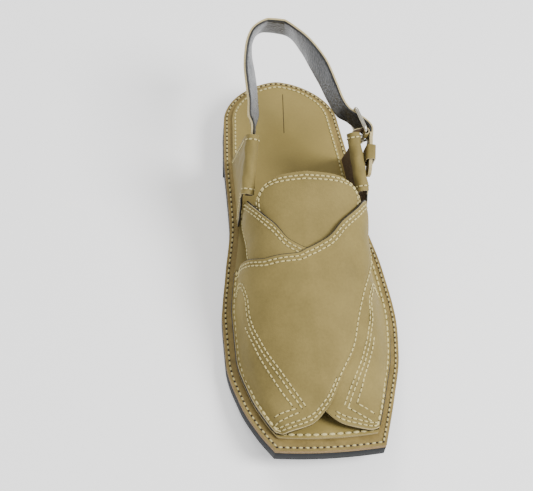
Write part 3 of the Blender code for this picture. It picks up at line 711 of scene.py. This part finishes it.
def unpolished(name, shades, stops, size, detail, strength, depth, roughness, shine=0.5,
               stretch=1.0):
    """A matt stuff whose two shades and whose grain follow one pattern. size and depth are in
    millimetres. stretch: how much finer the pattern is upwards."""
    tree, shader = blank(name)
    place = node(tree, "ShaderNodeTexCoord").outputs["Object"]
    if stretch != 1:
        turned = node(tree, "ShaderNodeMapping", {"Vector": place, "Scale": (1.0, 1.0, stretch)})
        place = turned.outputs["Vector"]
    grain = node(tree, "ShaderNodeTexNoise", {"Vector": place, "Scale": per_mm(size),
                                              "Detail": detail})
    ramp = node(tree, "ShaderNodeValToRGB", {"Fac": grain.outputs["Fac"]})
    for stop, position, shade in zip(ramp.color_ramp.elements, stops, shades):
        stop.position, stop.color = position, shade
    bump = node(tree, "ShaderNodeBump", {"Height": grain.outputs["Fac"], "Strength": strength,
                                         "Distance": depth * MM})
    tree.links.new(ramp.outputs["Color"], shader.inputs["Base Color"])
    tree.links.new(bump.outputs["Normal"], shader.inputs["Normal"])
    shader.inputs["Roughness"].default_value = roughness
    shader.inputs["Specular IOR Level"].default_value = shine


def fibre(name, codes, roughness=0.8, streak=0.7):
    """Cut or flesh side of leather: matt fibres in fine streaks along the cut."""
    shades = [linear(code) for code in codes]
    unpolished(name, shades, (0.30, 0.70), streak, 5.0, 0.4, 0.15, roughness, stretch=3.0)


def rubber(name, codes):
    """Moulded black sole rubber: matt and faintly dusty."""
    shades = [linear(code) for code in codes]
    unpolished(name, shades, (0.35, 0.75), 3.0, 5.0, 0.6, 0.2, 0.62, shine=0.3)


def thread(name, colour):
    """Waxed cotton thread, laid in twisted strands: cream, with shade between the strands."""
    shades = [part * 0.45 for part in colour], colour
    unpolished(name, shades, (0.30, 0.60), 0.5, 2.0, 0.5, 0.2, 0.75)


def nickel():
    """Bent steel wire, nickel plated and dulled by wear: soft reflections with fine scuffs."""
    tree, shader = blank("dull_nickel_plate")
    place = node(tree, "ShaderNodeTexCoord").outputs["Object"]
    scuff = node(tree, "ShaderNodeTexNoise", {"Vector": place, "Scale": per_mm(1.2),
                                              "Detail": 4.0})
    gloss = node(tree, "ShaderNodeMapRange", {"Value": scuff.outputs["Fac"], "To Min": 0.2,
                                              "To Max": 0.45})
    tree.links.new(gloss.outputs["Result"], shader.inputs["Roughness"])
    shader.inputs["Base Color"].default_value = linear("#CFCABA")
    shader.inputs["Metallic"].default_value = 1.0


def matt(name, colour, roughness=0.85):
    """One plain matt colour, for paper and for places too small to show a surface."""
    shader = blank(name)[1]
    shader.inputs["Base Color"].default_value = colour
    shader.inputs["Roughness"].default_value = roughness
    return shader


def make_materials(colours):
    leather("waxed_tan_leather", colours.leather, 0.20, 0.60, 0.9, 0.22, shine=0.07)
    leather("insole_leather", colours.insole, 0.12, 0.46, 1.0, 0.12, 40)
    leather("rim_leather_top", colours.rim, 0.25, 0.60, 0.8, 0.2, 9)
    leather("strap_lining", linear("#303338"), 0.95, 0.32, 1.5, 1.3, 7, 0.5, speck=0.75)
    fibre("raw_cut_edge", ("#A89768", "#CDBE90"))
    fibre("rim_cut_edge", ("#6A5232", "#9A8052"))
    fibre("flesh_side", ("#3E2D1D", "#655035"), 0.9, 1.6)
    rubber("moulded_rubber", ("#070A0D", "#12171B"))
    rubber("tread_rubber", ("#0B0F12", "#1B2125"))
    thread("cream_thread", colours.thread)
    thread("waxed_welt_thread", [part * 0.85 for part in colours.thread])
    # Black for the lower halves of edges and for the edge cords: partly edge paint, partly painted
    # shadow along and under edges
    matt("black_edge_paint_and_shade", linear("#14120E"), 0.5)
    # Dark brown: painted shade inside the needle holes, and the real colour of the heel's pencil
    # line
    matt("hole_shade_and_pencil", linear("#2B2013"))
    nickel()


LEATHER_SIDES = ("waxed_tan_leather", "raw_cut_edge", "black_edge_paint_and_shade", "flesh_side")


# Building and finishing a piece


def sheet_mesh(columns, rows, place, rounding=EDGE_ROUND, halves=True):
    """A sheet laid on place(u, v, w), its sides told apart by their slot, its edges rounded."""
    mesh = bmesh.new()
    bmesh.ops.create_grid(mesh, x_segments=columns, y_segments=rows, size=0.5)
    bmesh.ops.solidify(mesh, geom=mesh.faces[:], thickness=-1.0)
    low = min(vertex.co.z for vertex in mesh.verts)
    if halves:
        upright = [e for e in mesh.edges if abs(e.verts[0].co.z - e.verts[1].co.z) > 0.5]
        bmesh.ops.subdivide_edges(mesh, edges=upright, cuts=1, use_grid_fill=True)
    # Edges are two-tone: the upper half raw cut leather, the lower half black, partly edge paint
    # and partly painted shade under the edge
    for face in mesh.faces:
        face.normal_update()
        middle = face.calc_center_median().z - low
        if abs(face.normal.z) > 0.5:
            face.material_index = GRAIN if middle > 0.5 else FLESH
        else:
            face.material_index = EDGE_TOP if middle > 0.5 or not halves else EDGE_LOW
    flat = np.array([vertex.co for vertex in mesh.verts])
    u, v, w = np.clip(flat - [-0.5, -0.5, low], 0, 1).T
    for vertex, placed in zip(mesh.verts, place(u, v, w)):
        vertex.co = placed
    bmesh.ops.remove_doubles(mesh, verts=mesh.verts[:], dist=1e-6)
    bmesh.ops.dissolve_degenerate(mesh, edges=mesh.edges[:], dist=1e-6)
    bmesh.ops.recalc_face_normals(mesh, faces=mesh.faces[:])
    if rounding:
        rims = [e for e in mesh.edges if len({f.material_index for f in e.link_faces}) > 1
                and {f.material_index for f in e.link_faces} != {EDGE_TOP, EDGE_LOW}]
        bmesh.ops.bevel(mesh, geom=rims, offset=rounding, offset_type="OFFSET", segments=2,
                        profile=0.5, affect="EDGES", material=-1, clamp_overlap=True)
    return mesh


def wire_mesh(line, radius, cyclic=False):
    """A round wire along a line of points, its ends closed."""
    data = bpy.data.curves.new("wire", "CURVE")
    data.dimensions = "3D"
    data.bevel_depth = radius
    data.bevel_resolution = 4
    data.use_fill_caps = not cyclic
    spline = data.splines.new("POLY")
    spline.points.add(len(line) - 1)
    for target, source in zip(spline.points, line):
        target.co = (*source, 1)
    spline.use_cyclic_u = cyclic
    holder = bpy.data.objects.new("wire", data)
    mesh = bmesh.new()
    made = bpy.data.meshes.new_from_object(holder)
    mesh.from_mesh(made)
    bpy.data.objects.remove(holder)
    bpy.data.meshes.remove(made)
    bmesh.ops.remove_doubles(mesh, verts=mesh.verts[:], dist=1e-6)
    bmesh.ops.recalc_face_normals(mesh, faces=mesh.faces[:])
    return mesh


def add_to(mesh, part):
    """Moves everything in one bmesh into another."""
    data = bpy.data.meshes.new("part")
    part.to_mesh(data)
    part.free()
    mesh.from_mesh(data)
    bpy.data.meshes.remove(data)


def finish_piece(name, mesh, replaces=(), materials=LEATHER_SIDES, slot="tan_leather"):
    """Makes the object, in the solids' frame, riding on the shoe's one body."""
    bmesh.ops.translate(mesh, verts=mesh.verts[:], vec=-MIDDLE)
    data = bpy.data.meshes.new(name)
    mesh.to_mesh(data)
    mesh.free()
    data.shade_smooth()
    data.set_sharp_from_angle(angle=math.radians(50))
    made = bpy.data.objects.new(name, data)
    bpy.context.scene.collection.objects.link(made)
    for material in materials:
        data.materials.append(bpy.data.materials[material])
    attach(made, "root")
    if replaces:
        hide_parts(*replaces)


# Lines of stitches


def edge_cord(mesh, place, u, v, w, radius):
    """A fine black cord along a line on a sheet: black edge paint on some edges, painted shadow
    under others.
    """
    u, v, w = np.broadcast_arrays(*(np.asarray(value, float) for value in (u, v, w)))
    add_to(mesh, wire_mesh(place(u, v, w), radius))


def at_lengths(line, travelled, wanted):
    return np.stack([np.interp(wanted, travelled, line[:, i]) for i in range(3)], axis=-1)


def stitch_row(mesh, line, normals, pitch, thick, share=0.84, hole=0.34 * MM):
    """Adds one row of stitches along a line: a hole, a bead of thread that dives into it, and
    so on. Each hole is a flat dark disc: painted shade in the needle hole. share: how much of
    the pitch the bead takes up. hole: the needle hole's radius."""
    travelled = length_along(line)
    count = max(1, round(travelled[-1] / pitch))
    pitch = travelled[-1] / count
    row = bmesh.new()
    for i in range(2 * count + 1):
        wanted = i * pitch / 2
        spot = at_lengths(line, travelled, wanted)
        normal = unit(at_lengths(normals, travelled, wanted))
        ahead = at_lengths(line, travelled, min(wanted + STITCH_STEP, travelled[-1]))
        behind = at_lengths(line, travelled, max(wanted - STITCH_STEP, 0))
        along = unit(ahead - behind)
        side = unit(np.cross(normal, along))
        thread_here = i % 2 == 1
        if thread_here:
            sizes = (thick / 2, thick * BEAD_HEIGHT, pitch * share / 2)
            spot = spot + normal * thick * BEAD_LIFT
        else:
            sizes = (hole, hole * HOLE_HEIGHT, hole)
        frame_here = Matrix([(*(side[k] * sizes[0], normal[k] * sizes[1], along[k] * sizes[2]),
                              spot[k]) for k in range(3)] + [(0, 0, 0, 1)])
        made = bmesh.ops.create_uvsphere(row, u_segments=8 if thread_here else 6,
                                         v_segments=6 if thread_here else 4, radius=1,
                                         matrix=frame_here)
        for face in {f for vertex in made["verts"] for f in vertex.link_faces}:
            face.material_index = 0 if thread_here else 1
    bmesh.ops.recalc_face_normals(row, faces=row.faces[:])
    add_to(mesh, row)


def sheet_row(mesh, place, u, v, pitch, thick, grain=1.0):
    """A row of stitches along a line on the grain side of a sheet."""
    u, v = np.broadcast_arrays(np.asarray(u, float), np.asarray(v, float))
    line = place(u, v, np.full_like(u, grain))
    normals = unit(line - place(u, v, np.full_like(u, 1 - grain)))
    stitch_row(mesh, line, normals, pitch, thick)


def inset_from(place, shares, tries, inset, foot=False):
    """Which of the tried places lies this far from the first, at each share of the other way:
    up from a sheet's foot, or else in from a long edge."""
    found = []
    for share in shares:
        fixed = np.full_like(tries, share)
        u, v = (tries, fixed) if foot else (fixed, tries)
        line = place(u, v, np.ones_like(tries))
        found.append(np.interp(inset, length_along(line), tries))
    return np.array(found)


def panel_row(mesh, place, v_edge, inset, u_from, u_to, pitch, thick):
    u = np.linspace(u_from, u_to, 90)
    v = inset_from(place, u, np.abs(v_edge - np.linspace(0, 1, 120)), inset)
    sheet_row(mesh, place, u, v, pitch, thick)


def last_row(mesh, place_lift, places, pitch, thick, aside=0.0):
    """A row through listed (along, over) places on the last, lying on the leather."""
    places = np.array(places)
    travelled = length_along(places)
    columns = {"t": travelled, "along": places[:, 0], "over": places[:, 1]}
    t = np.linspace(0, travelled[-1], 80)
    along, over = curve(columns, "along", t, "t"), curve(columns, "over", t, "t")
    line = on_last(along, over, place_lift(along, over))
    normals = unit(line - on_last(along, over, place_lift(along, over) - MM))
    line = line + unit(np.cross(normals, np.gradient(line, axis=0))) * aside
    stitch_row(mesh, line, normals, pitch, thick)


# Pieces


def sole_arm(side, inset_side, inset_toe, count=160):
    """One side of the sole in plan, as (x, y, along), from the middle of the heel to the toe."""
    end = 1 - inset_toe / LENGTH
    along = mix(inset_side / LENGTH, end, np.linspace(0, 1, count) ** ROW_POWER)
    return point(side * half_width(side, along, inset_side), y_at(along), along)


def sole_toe(inset_side, inset_toe, count=40):
    """The cut toe in plan, from the medial corner to the lateral one."""
    end = 1 - inset_toe / LENGTH
    u = np.linspace(-1, 1, count)
    x = u * half_width(np.where(u < 0, -1, 1), np.full_like(u, end), inset_side)
    return point(x, y_at(end) - TOE_CROWN * (1 - u * u), end)


def sole_row(mesh, plan, top, pitch, thick, **shape):
    line = point(plan[:, 0], plan[:, 1], top(plan[:, 2]) + HAIR)
    normals = np.broadcast_to([0.0, 0.0, 1.0], line.shape)
    stitch_row(mesh, line, normals, pitch, thick, **shape)


def colour_property(name, description, code):
    return FloatVectorProperty(name=name, description=description, subtype="COLOR", size=4,
                               default=linear(code), min=0, max=1)


class ChappalStitches(bpy.types.PropertyGroup):
    """Sizes of the thread work."""

    seam_pitch: FloatProperty(
        name="Seam pitch", description="Length of one stitch on the uppers", default=3.2 * MM,
        min=2 * MM, max=8 * MM, unit="LENGTH")
    seam_thread: FloatProperty(
        name="Seam thread", description="Thickness of the thread on the uppers",
        default=0.95 * MM, min=0.4 * MM, max=2 * MM, unit="LENGTH")
    welt_pitch: FloatProperty(
        name="Welt pitch", description="Length of one stitch round the rim", default=3.7 * MM,
        min=2 * MM, max=8 * MM, unit="LENGTH")
    inner_pitch: FloatProperty(
        name="Inner pitch", description="Length of one stitch at the foot of the uppers",
        default=4.1 * MM, min=2 * MM, max=8 * MM, unit="LENGTH")


class ChappalColours(bpy.types.PropertyGroup):
    """Colours of the leathers and the thread."""

    leather: colour_property("Leather", "Waxed leather of the uppers and the strap", "#847546")
    insole: colour_property("Insole", "Smooth leather that the foot stands on", "#91804A")
    rim: colour_property("Rim", "Leather rim round the insole", "#857345")
    thread: colour_property("Thread", "Waxed cotton thread", "#DACB8C")


class ChappalStage(bpy.types.PropertyGroup):
    """The floor and the light."""

    floor: colour_property("Floor", "Colour of the paper under the shoe", "#FAFAFA")
    light: FloatProperty(
        name="Light", description="Strength of the softboxes, in watts", default=9.0, min=0,
        max=200)


class CHAPPAL_OT_materials(bpy.types.Operator):
    """Mixes the leathers, the rubber, the thread and the nickel"""

    bl_idname = "chappal.materials"
    bl_label = "Materials"

    def execute(self, context):
        make_materials(context.scene.chappal_colours)
        return {"FINISHED"}


class CHAPPAL_OT_sole(bpy.types.Operator):
    """Makes the heel block, outsole, stitched rim and insole"""

    bl_idname = "chappal.sole"
    bl_label = "Sole"

    def execute(self, context):
        rubbers = ("moulded_rubber",) * 3 + ("tread_rubber",)
        rims = ("rim_leather_top",) + ("rim_cut_edge",) * 3
        insoles = ("insole_leather", "raw_cut_edge", "raw_cut_edge", "flesh_side")
        outsole = sole_layer(underside, lambda s: underside(s) + OUTSOLE_THICK, ribs=1.0)
        rim = sole_layer(midsole_bottom, rim_top)
        insole = sole_layer(lambda s: rim_top(s) + GAP, insole_top, RIM_SIDE, RIM_TOE)
        for name, solid, columns, rows, place, rounding, materials, slot in (
            ("heel_block", "heel", 24, 150, heel_block, 0.5, rubbers, "black_rubber"),
            ("outsole_rubber", "outsole", 24, 500, outsole, 0.6, rubbers, "black_rubber"),
            ("stitched_rim", "midsole", 12, 120, rim, 0.5, rims, "rim_leather"),
            ("insole_sheet", "insole", 12, 110, insole, 0.5, insoles, "tan_leather"),
        ):
            mesh = sheet_mesh(columns, rows, place, rounding * MM, False)
            finish_piece(name, mesh, [solid], materials, slot)
        along, aside = (np.linspace(*ends, 12) for ends in HEEL_MARK)
        line = point(aside * BALL_WIDTH, y_at(along), insole_top(along))
        mark = wire_mesh(line, HEEL_MARK_WIDE / 2)
        finish_piece("heel_centre_mark", mark, materials=["hole_shade_and_pencil"])
        return {"FINISHED"}


class CHAPPAL_OT_panels(bpy.types.Operator):
    """Makes the two wrap-over panels of the upper"""

    bl_idname = "chappal.panels"
    bl_label = "Wrap-over panels"

    def execute(self, context):
        lips = bmesh.new()
        run = np.linspace(0.02, 0.98, 120)
        for name, place in (("top_panel", top_panel), ("under_panel", under_panel)):
            finish_piece(name, sheet_mesh(120, 84, place), ["upper"])
            # Black cords: along the rear edge partly edge paint and partly painted shadow; along
            # the foot margin (u 0) painted shadow under the margin's edge
            edge_cord(lips, place, run, 1.0, 0.42, REAR_LIP)
            edge_cord(lips, place, 0.0, run, 0.3, MARGIN_SHADOW_LIP)
        finish_piece("edge_paint_and_shade_lips", lips, materials=["black_edge_paint_and_shade"])
        return {"FINISHED"}


class CHAPPAL_OT_tongue(bpy.types.Operator):
    """Makes the rounded tongue"""

    bl_idname = "chappal.tongue"
    bl_label = "Tongue"

    def execute(self, context):
        finish_piece("tongue_leather", sheet_mesh(44, 56, tongue_sheet), ["tongue"])
        return {"FINISHED"}


class CHAPPAL_OT_wings(bpy.types.Operator):
    """Makes the side wings, each rolled into a sleeve along its top"""

    bl_idname = "chappal.wings"
    bl_label = "Side wings"

    def execute(self, context):
        for name, wing in WINGS.items():
            mesh = sheet_mesh(110, 40, wing_sheet(wing), FINE_ROUND)
            if wing["side"] > 0:
                swap_sides(mesh)
            finish_piece("wing_leather_" + name, mesh, ["wing_" + name])
            lips = bmesh.new()
            run = np.linspace(0.02, 0.46, 60)
            for end in (0.0, 1.0):
                edge_cord(lips, wing_sheet(wing), run, end, 0.5, WING_LIP)
            finish_piece("wing_lips_" + name, lips, materials=["black_edge_paint_and_shade"])
        return {"FINISHED"}


def swap_sides(mesh):
    """Turns grain and flesh round, for a sheet whose w runs the other way."""
    other = {GRAIN: FLESH, FLESH: GRAIN, EDGE_TOP: EDGE_LOW, EDGE_LOW: EDGE_TOP}
    for face in mesh.faces:
        face.material_index = other[face.material_index]


class CHAPPAL_OT_strap(bpy.types.Operator):
    """Makes the lined heel strap and its keeper"""

    bl_idname = "chappal.strap"
    bl_label = "Heel strap"

    def execute(self, context):
        strap = sheet_mesh(8, 260, ribbon(strap_rows()), FINE_ROUND)
        unlined = {FLESH: GRAIN, EDGE_LOW: EDGE_TOP}
        for face in strap.faces:
            middle = face.calc_center_median()
            if middle.x > 0 and middle.y < y_at(BUCKLE["front"][0]) - LINING_END:
                face.material_index = unlined.get(face.material_index, face.material_index)
        lined = LEATHER_SIDES[:FLESH] + ("strap_lining",)
        finish_piece("lined_heel_strap", strap, ["heel_strap"], lined)
        finish_piece("keeper_loop", sheet_mesh(60, 6, keeper_sheet, FINE_ROUND), ["keeper"])
        return {"FINISHED"}


class CHAPPAL_OT_buckle(bpy.types.Operator):
    """Makes the buckle's frame, prong and leather tab"""

    bl_idname = "chappal.buckle"
    bl_label = "Buckle"

    def execute(self, context):
        middle, length, axis, outward, upward = buckle_axes()
        loop = rounded_loop(length, FRAME_WINDOW + WIRE, FRAME_CORNER, 72)
        line = middle + loop[:, :1] * axis + loop[:, 1:] * upward
        metal = ["dull_nickel_plate"], "nickel_wire"
        wire = wire_mesh(line, WIRE / 2, cyclic=True)
        finish_piece("buckle_wire", wire, ["buckle_frame"], *metal)
        bar = middle - axis * length / 2 - upward * PRONG_ASIDE
        radius = WIRE / 2 + GAP + PRONG / 2
        turns = np.radians(np.linspace(90 - PRONG_EYE, 90, 24))[:, None]
        eye = bar - axis * np.cos(turns) * radius + outward * np.sin(turns) * radius
        reach = np.linspace(0, length + PRONG_TIP, 14)[1:, None]
        line = np.concatenate([eye, bar + outward * radius + axis * reach])
        finish_piece("buckle_pin", wire_mesh(line, PRONG / 2), ["buckle_prong"], *metal)
        tab = sheet_mesh(4, 60, ribbon(tab_rows()), TAB_ROUND)
        finish_piece("buckle_leather_tab", tab, ["buckle_tab"])
        return {"FINISHED"}


def under_lift(along, over):
    """Height of the under panel's grain side above the last."""
    return UPPER_WALL + puff(along, over, FAR_INSIDE)


def top_lift(along, over):
    return under_lift(along, over) + step_share(along, over) * STEP


def tongue_line(inset):
    """Where a line lies inside the tongue's rounded top, from one side round to the other."""
    t = np.linspace(-1, 1, 161)
    u = 0.5 + 0.5 * np.clip(t * TONGUE_LINE_SPREAD, -1, 1) * (1 - inset / TONGUE_SPAN)
    fall = TONGUE_LINE_DROP * ease(TONGUE_LINE_TURN, 1.0, np.abs(t))
    return u, 1 - inset / TONGUE_RISE - fall


class CHAPPAL_OT_stitches(bpy.types.Operator):
    """Sews every visible row of stitches"""

    bl_idname = "chappal.stitches"
    bl_label = "Stitches"

    def execute(self, context):
        sizes = context.scene.chappal_stitches
        pitch, thick = sizes.seam_pitch, sizes.seam_thread
        threads = ("cream_thread", "hole_shade_and_pencil")
        welt = bmesh.new()
        for plan in (sole_arm(-1, *WELT_INSETS), sole_toe(*WELT_INSETS),
                     sole_arm(1, *WELT_INSETS)):
            sole_row(welt, plan, rim_top, sizes.welt_pitch, WELT_THREAD, share=WELT_SHARE,
                     hole=WELT_HOLE)
        finish_piece("welt_stitches", welt, (), ("waxed_welt_thread", "hole_shade_and_pencil"),
                     "rim_leather")
        inner = bmesh.new()
        for side in (-1, 1):
            plan = sole_arm(side, *INNER_INSETS)
            plan = plan[plan[:, 2] < HEEL_ROW_END]
            heel_pitch = sizes.inner_pitch * HEEL_ROW_PITCH
            sole_row(inner, plan, insole_top, heel_pitch, HEEL_ROW_THREAD)
        sole_row(inner, sole_toe(*INNER_INSETS), insole_top, TOE_ROW_PITCH, TOE_ROW_THREAD)
        for place in (top_panel, under_panel):
            v = np.linspace(0.01, 0.995, 160)
            u = inset_from(place, v, np.linspace(0, 0.2, 60), FOOT_INSET, foot=True)
            sheet_row(inner, place, u, v, sizes.inner_pitch, FOOT_THREAD)
        finish_piece("inner_welt_stitches", inner, (), threads)
        seams = bmesh.new()
        for place, edge, insets, u_from, u_to in (
            (top_panel, 1, SEAM_INSETS, 0.04, 0.99), (under_panel, 1, SEAM_INSETS, 0.30, 0.99),
            (top_panel, 0, SEAM_INSETS, 0.03, 0.46), (under_panel, 0, SEAM_INSETS, 0.03, 0.30),
            (top_panel, 0, SEAM_INSETS[:1], 0.46, 0.99),
            (under_panel, 0, SEAM_INSETS[:1], 0.70, 0.99),
        ):
            for inset in insets:
                panel_row(seams, place, edge, inset, u_from, u_to, pitch, thick)
        for lift, (crescent, *others) in ((top_lift, TOP_CURVES), (under_lift, UNDER_CURVES)):
            for aside in (-CRESCENT_ROWS / 2, CRESCENT_ROWS / 2):
                last_row(seams, lift, crescent, pitch, thick, aside)
            for row in others:
                last_row(seams, lift, row, pitch, thick)
        finish_piece("panel_stitches", seams, (), threads)
        hems = bmesh.new()
        for wing in WINGS.values():
            grain = 1.0 if wing["side"] < 0 else 0.0
            for v, low, high in HEM_ROWS:
                run = np.linspace(low, high, 50)
                sheet_row(hems, wing_sheet(wing), run, v, pitch, thick, grain)
        finish_piece("wing_stitches", hems, (), threads)
        straps = bmesh.new()
        run = np.linspace(*STRAP_SEWN, 220)
        for u in STRAP_ROWS_AT:
            sheet_row(straps, ribbon(strap_rows()), u, run, pitch, thick * STRAP_THREAD)
        finish_piece("strap_stitches", straps, (), threads)
        trim = bmesh.new()
        for inset in TONGUE_INSETS:
            sheet_row(trim, tongue_sheet, *tongue_line(inset), pitch, thick)
        finish_piece("tongue_stitches", trim, (), threads)
        return {"FINISHED"}


class CHAPPAL_OT_stage(bpy.types.Operator):
    """Sets up the floor, the light and the camera"""

    bl_idname = "chappal.stage"
    bl_label = "Stage"

    def execute(self, context):
        stage = context.scene.chappal_stage
        mesh = bmesh.new()
        bmesh.ops.create_grid(mesh, x_segments=2, y_segments=2, size=FLOOR_SIZE)
        bmesh.ops.translate(mesh, verts=mesh.verts[:], vec=(0, 0, -HAIR))
        data = bpy.data.meshes.new("floor")
        mesh.to_mesh(data)
        mesh.free()
        floor = bpy.data.objects.new("floor", data)
        bpy.context.scene.collection.objects.link(floor)
        shader = matt("pale_paper", stage.floor, 0.9)
        shader.inputs["Emission Color"].default_value = stage.floor
        shader.inputs["Emission Strength"].default_value = FLOOR_GLOW
        data.materials.append(bpy.data.materials["pale_paper"])
        for name, (place, size, share) in LIGHTS.items():
            lamp = bpy.data.lights.new(name, "AREA")
            lamp.shape, lamp.size, lamp.energy = "DISK", size, stage.light * share
            box = bpy.data.objects.new(name, lamp)
            box.location = place
            box.rotation_euler = (-Vector(place)).to_track_quat("-Z", "Y").to_euler()
            bpy.context.scene.collection.objects.link(box)
        world = bpy.context.scene.world or bpy.data.worlds.new("studio")
        bpy.context.scene.world = world
        world.use_nodes = True
        sky = world.node_tree.nodes["Background"]
        sky.inputs["Color"].default_value = (1, 1, 1, 1)
        sky.inputs["Strength"].default_value = SKY
        place_camera()
        return {"FINISHED"}


def place_camera():
    """Sets up the photo's camera: turned about Z, raised, then rolled about its own line."""
    lens = bpy.data.cameras.new("camera")
    lens.sensor_width = SENSOR
    lens.lens = SENSOR * CAMERA_PIXELS / PICTURE_WIDTH
    camera = bpy.data.objects.new("camera", lens)
    place = Matrix.Translation(CAMERA_PLACE - MIDDLE)
    for turn, axis in ((CAMERA_AZIMUTH, "Z"), (90 - CAMERA_ELEVATION, "X"), (CAMERA_ROLL, "Z")):
        place = place @ Matrix.Rotation(math.radians(turn), 4, axis)
    camera.matrix_world = place
    bpy.context.scene.collection.objects.link(camera)
    bpy.context.scene.camera = camera


OPERATORS = (
    CHAPPAL_OT_materials,
    CHAPPAL_OT_sole,
    CHAPPAL_OT_panels,
    CHAPPAL_OT_tongue,
    CHAPPAL_OT_wings,
    CHAPPAL_OT_strap,
    CHAPPAL_OT_buckle,
    CHAPPAL_OT_stitches,
    CHAPPAL_OT_stage,
)


class CHAPPAL_PT_panel(bpy.types.Panel):
    """Shows the colours, the sizes and the steps that make the shoe"""

    bl_idname = "CHAPPAL_PT_panel"
    bl_label = "Chappal"
    bl_space_type = "VIEW_3D"
    bl_region_type = "UI"
    bl_category = "Chappal"

    def draw(self, context):
        scene = context.scene
        for group in (scene.chappal_colours, scene.chappal_stitches, scene.chappal_stage):
            for name in group.bl_rna.properties.keys():
                if name not in ("rna_type", "name"):
                    self.layout.prop(group, name)
        for operator in OPERATORS:
            self.layout.operator(operator.bl_idname)


CLASSES = (ChappalColours, ChappalStitches, ChappalStage) + OPERATORS + (CHAPPAL_PT_panel,)


def register():
    for made in CLASSES:
        bpy.utils.register_class(made)
    bpy.types.Scene.chappal_colours = PointerProperty(type=ChappalColours)
    bpy.types.Scene.chappal_stitches = PointerProperty(type=ChappalStitches)
    bpy.types.Scene.chappal_stage = PointerProperty(type=ChappalStage)


def unregister():
    del bpy.types.Scene.chappal_stage
    del bpy.types.Scene.chappal_stitches
    del bpy.types.Scene.chappal_colours
    for made in reversed(CLASSES):
        bpy.utils.unregister_class(made)


def main():
    register()
    for operator in OPERATORS:
        group, name = operator.bl_idname.split(".")
        getattr(getattr(bpy.ops, group), name)()


if __name__ == "__main__":
    main()
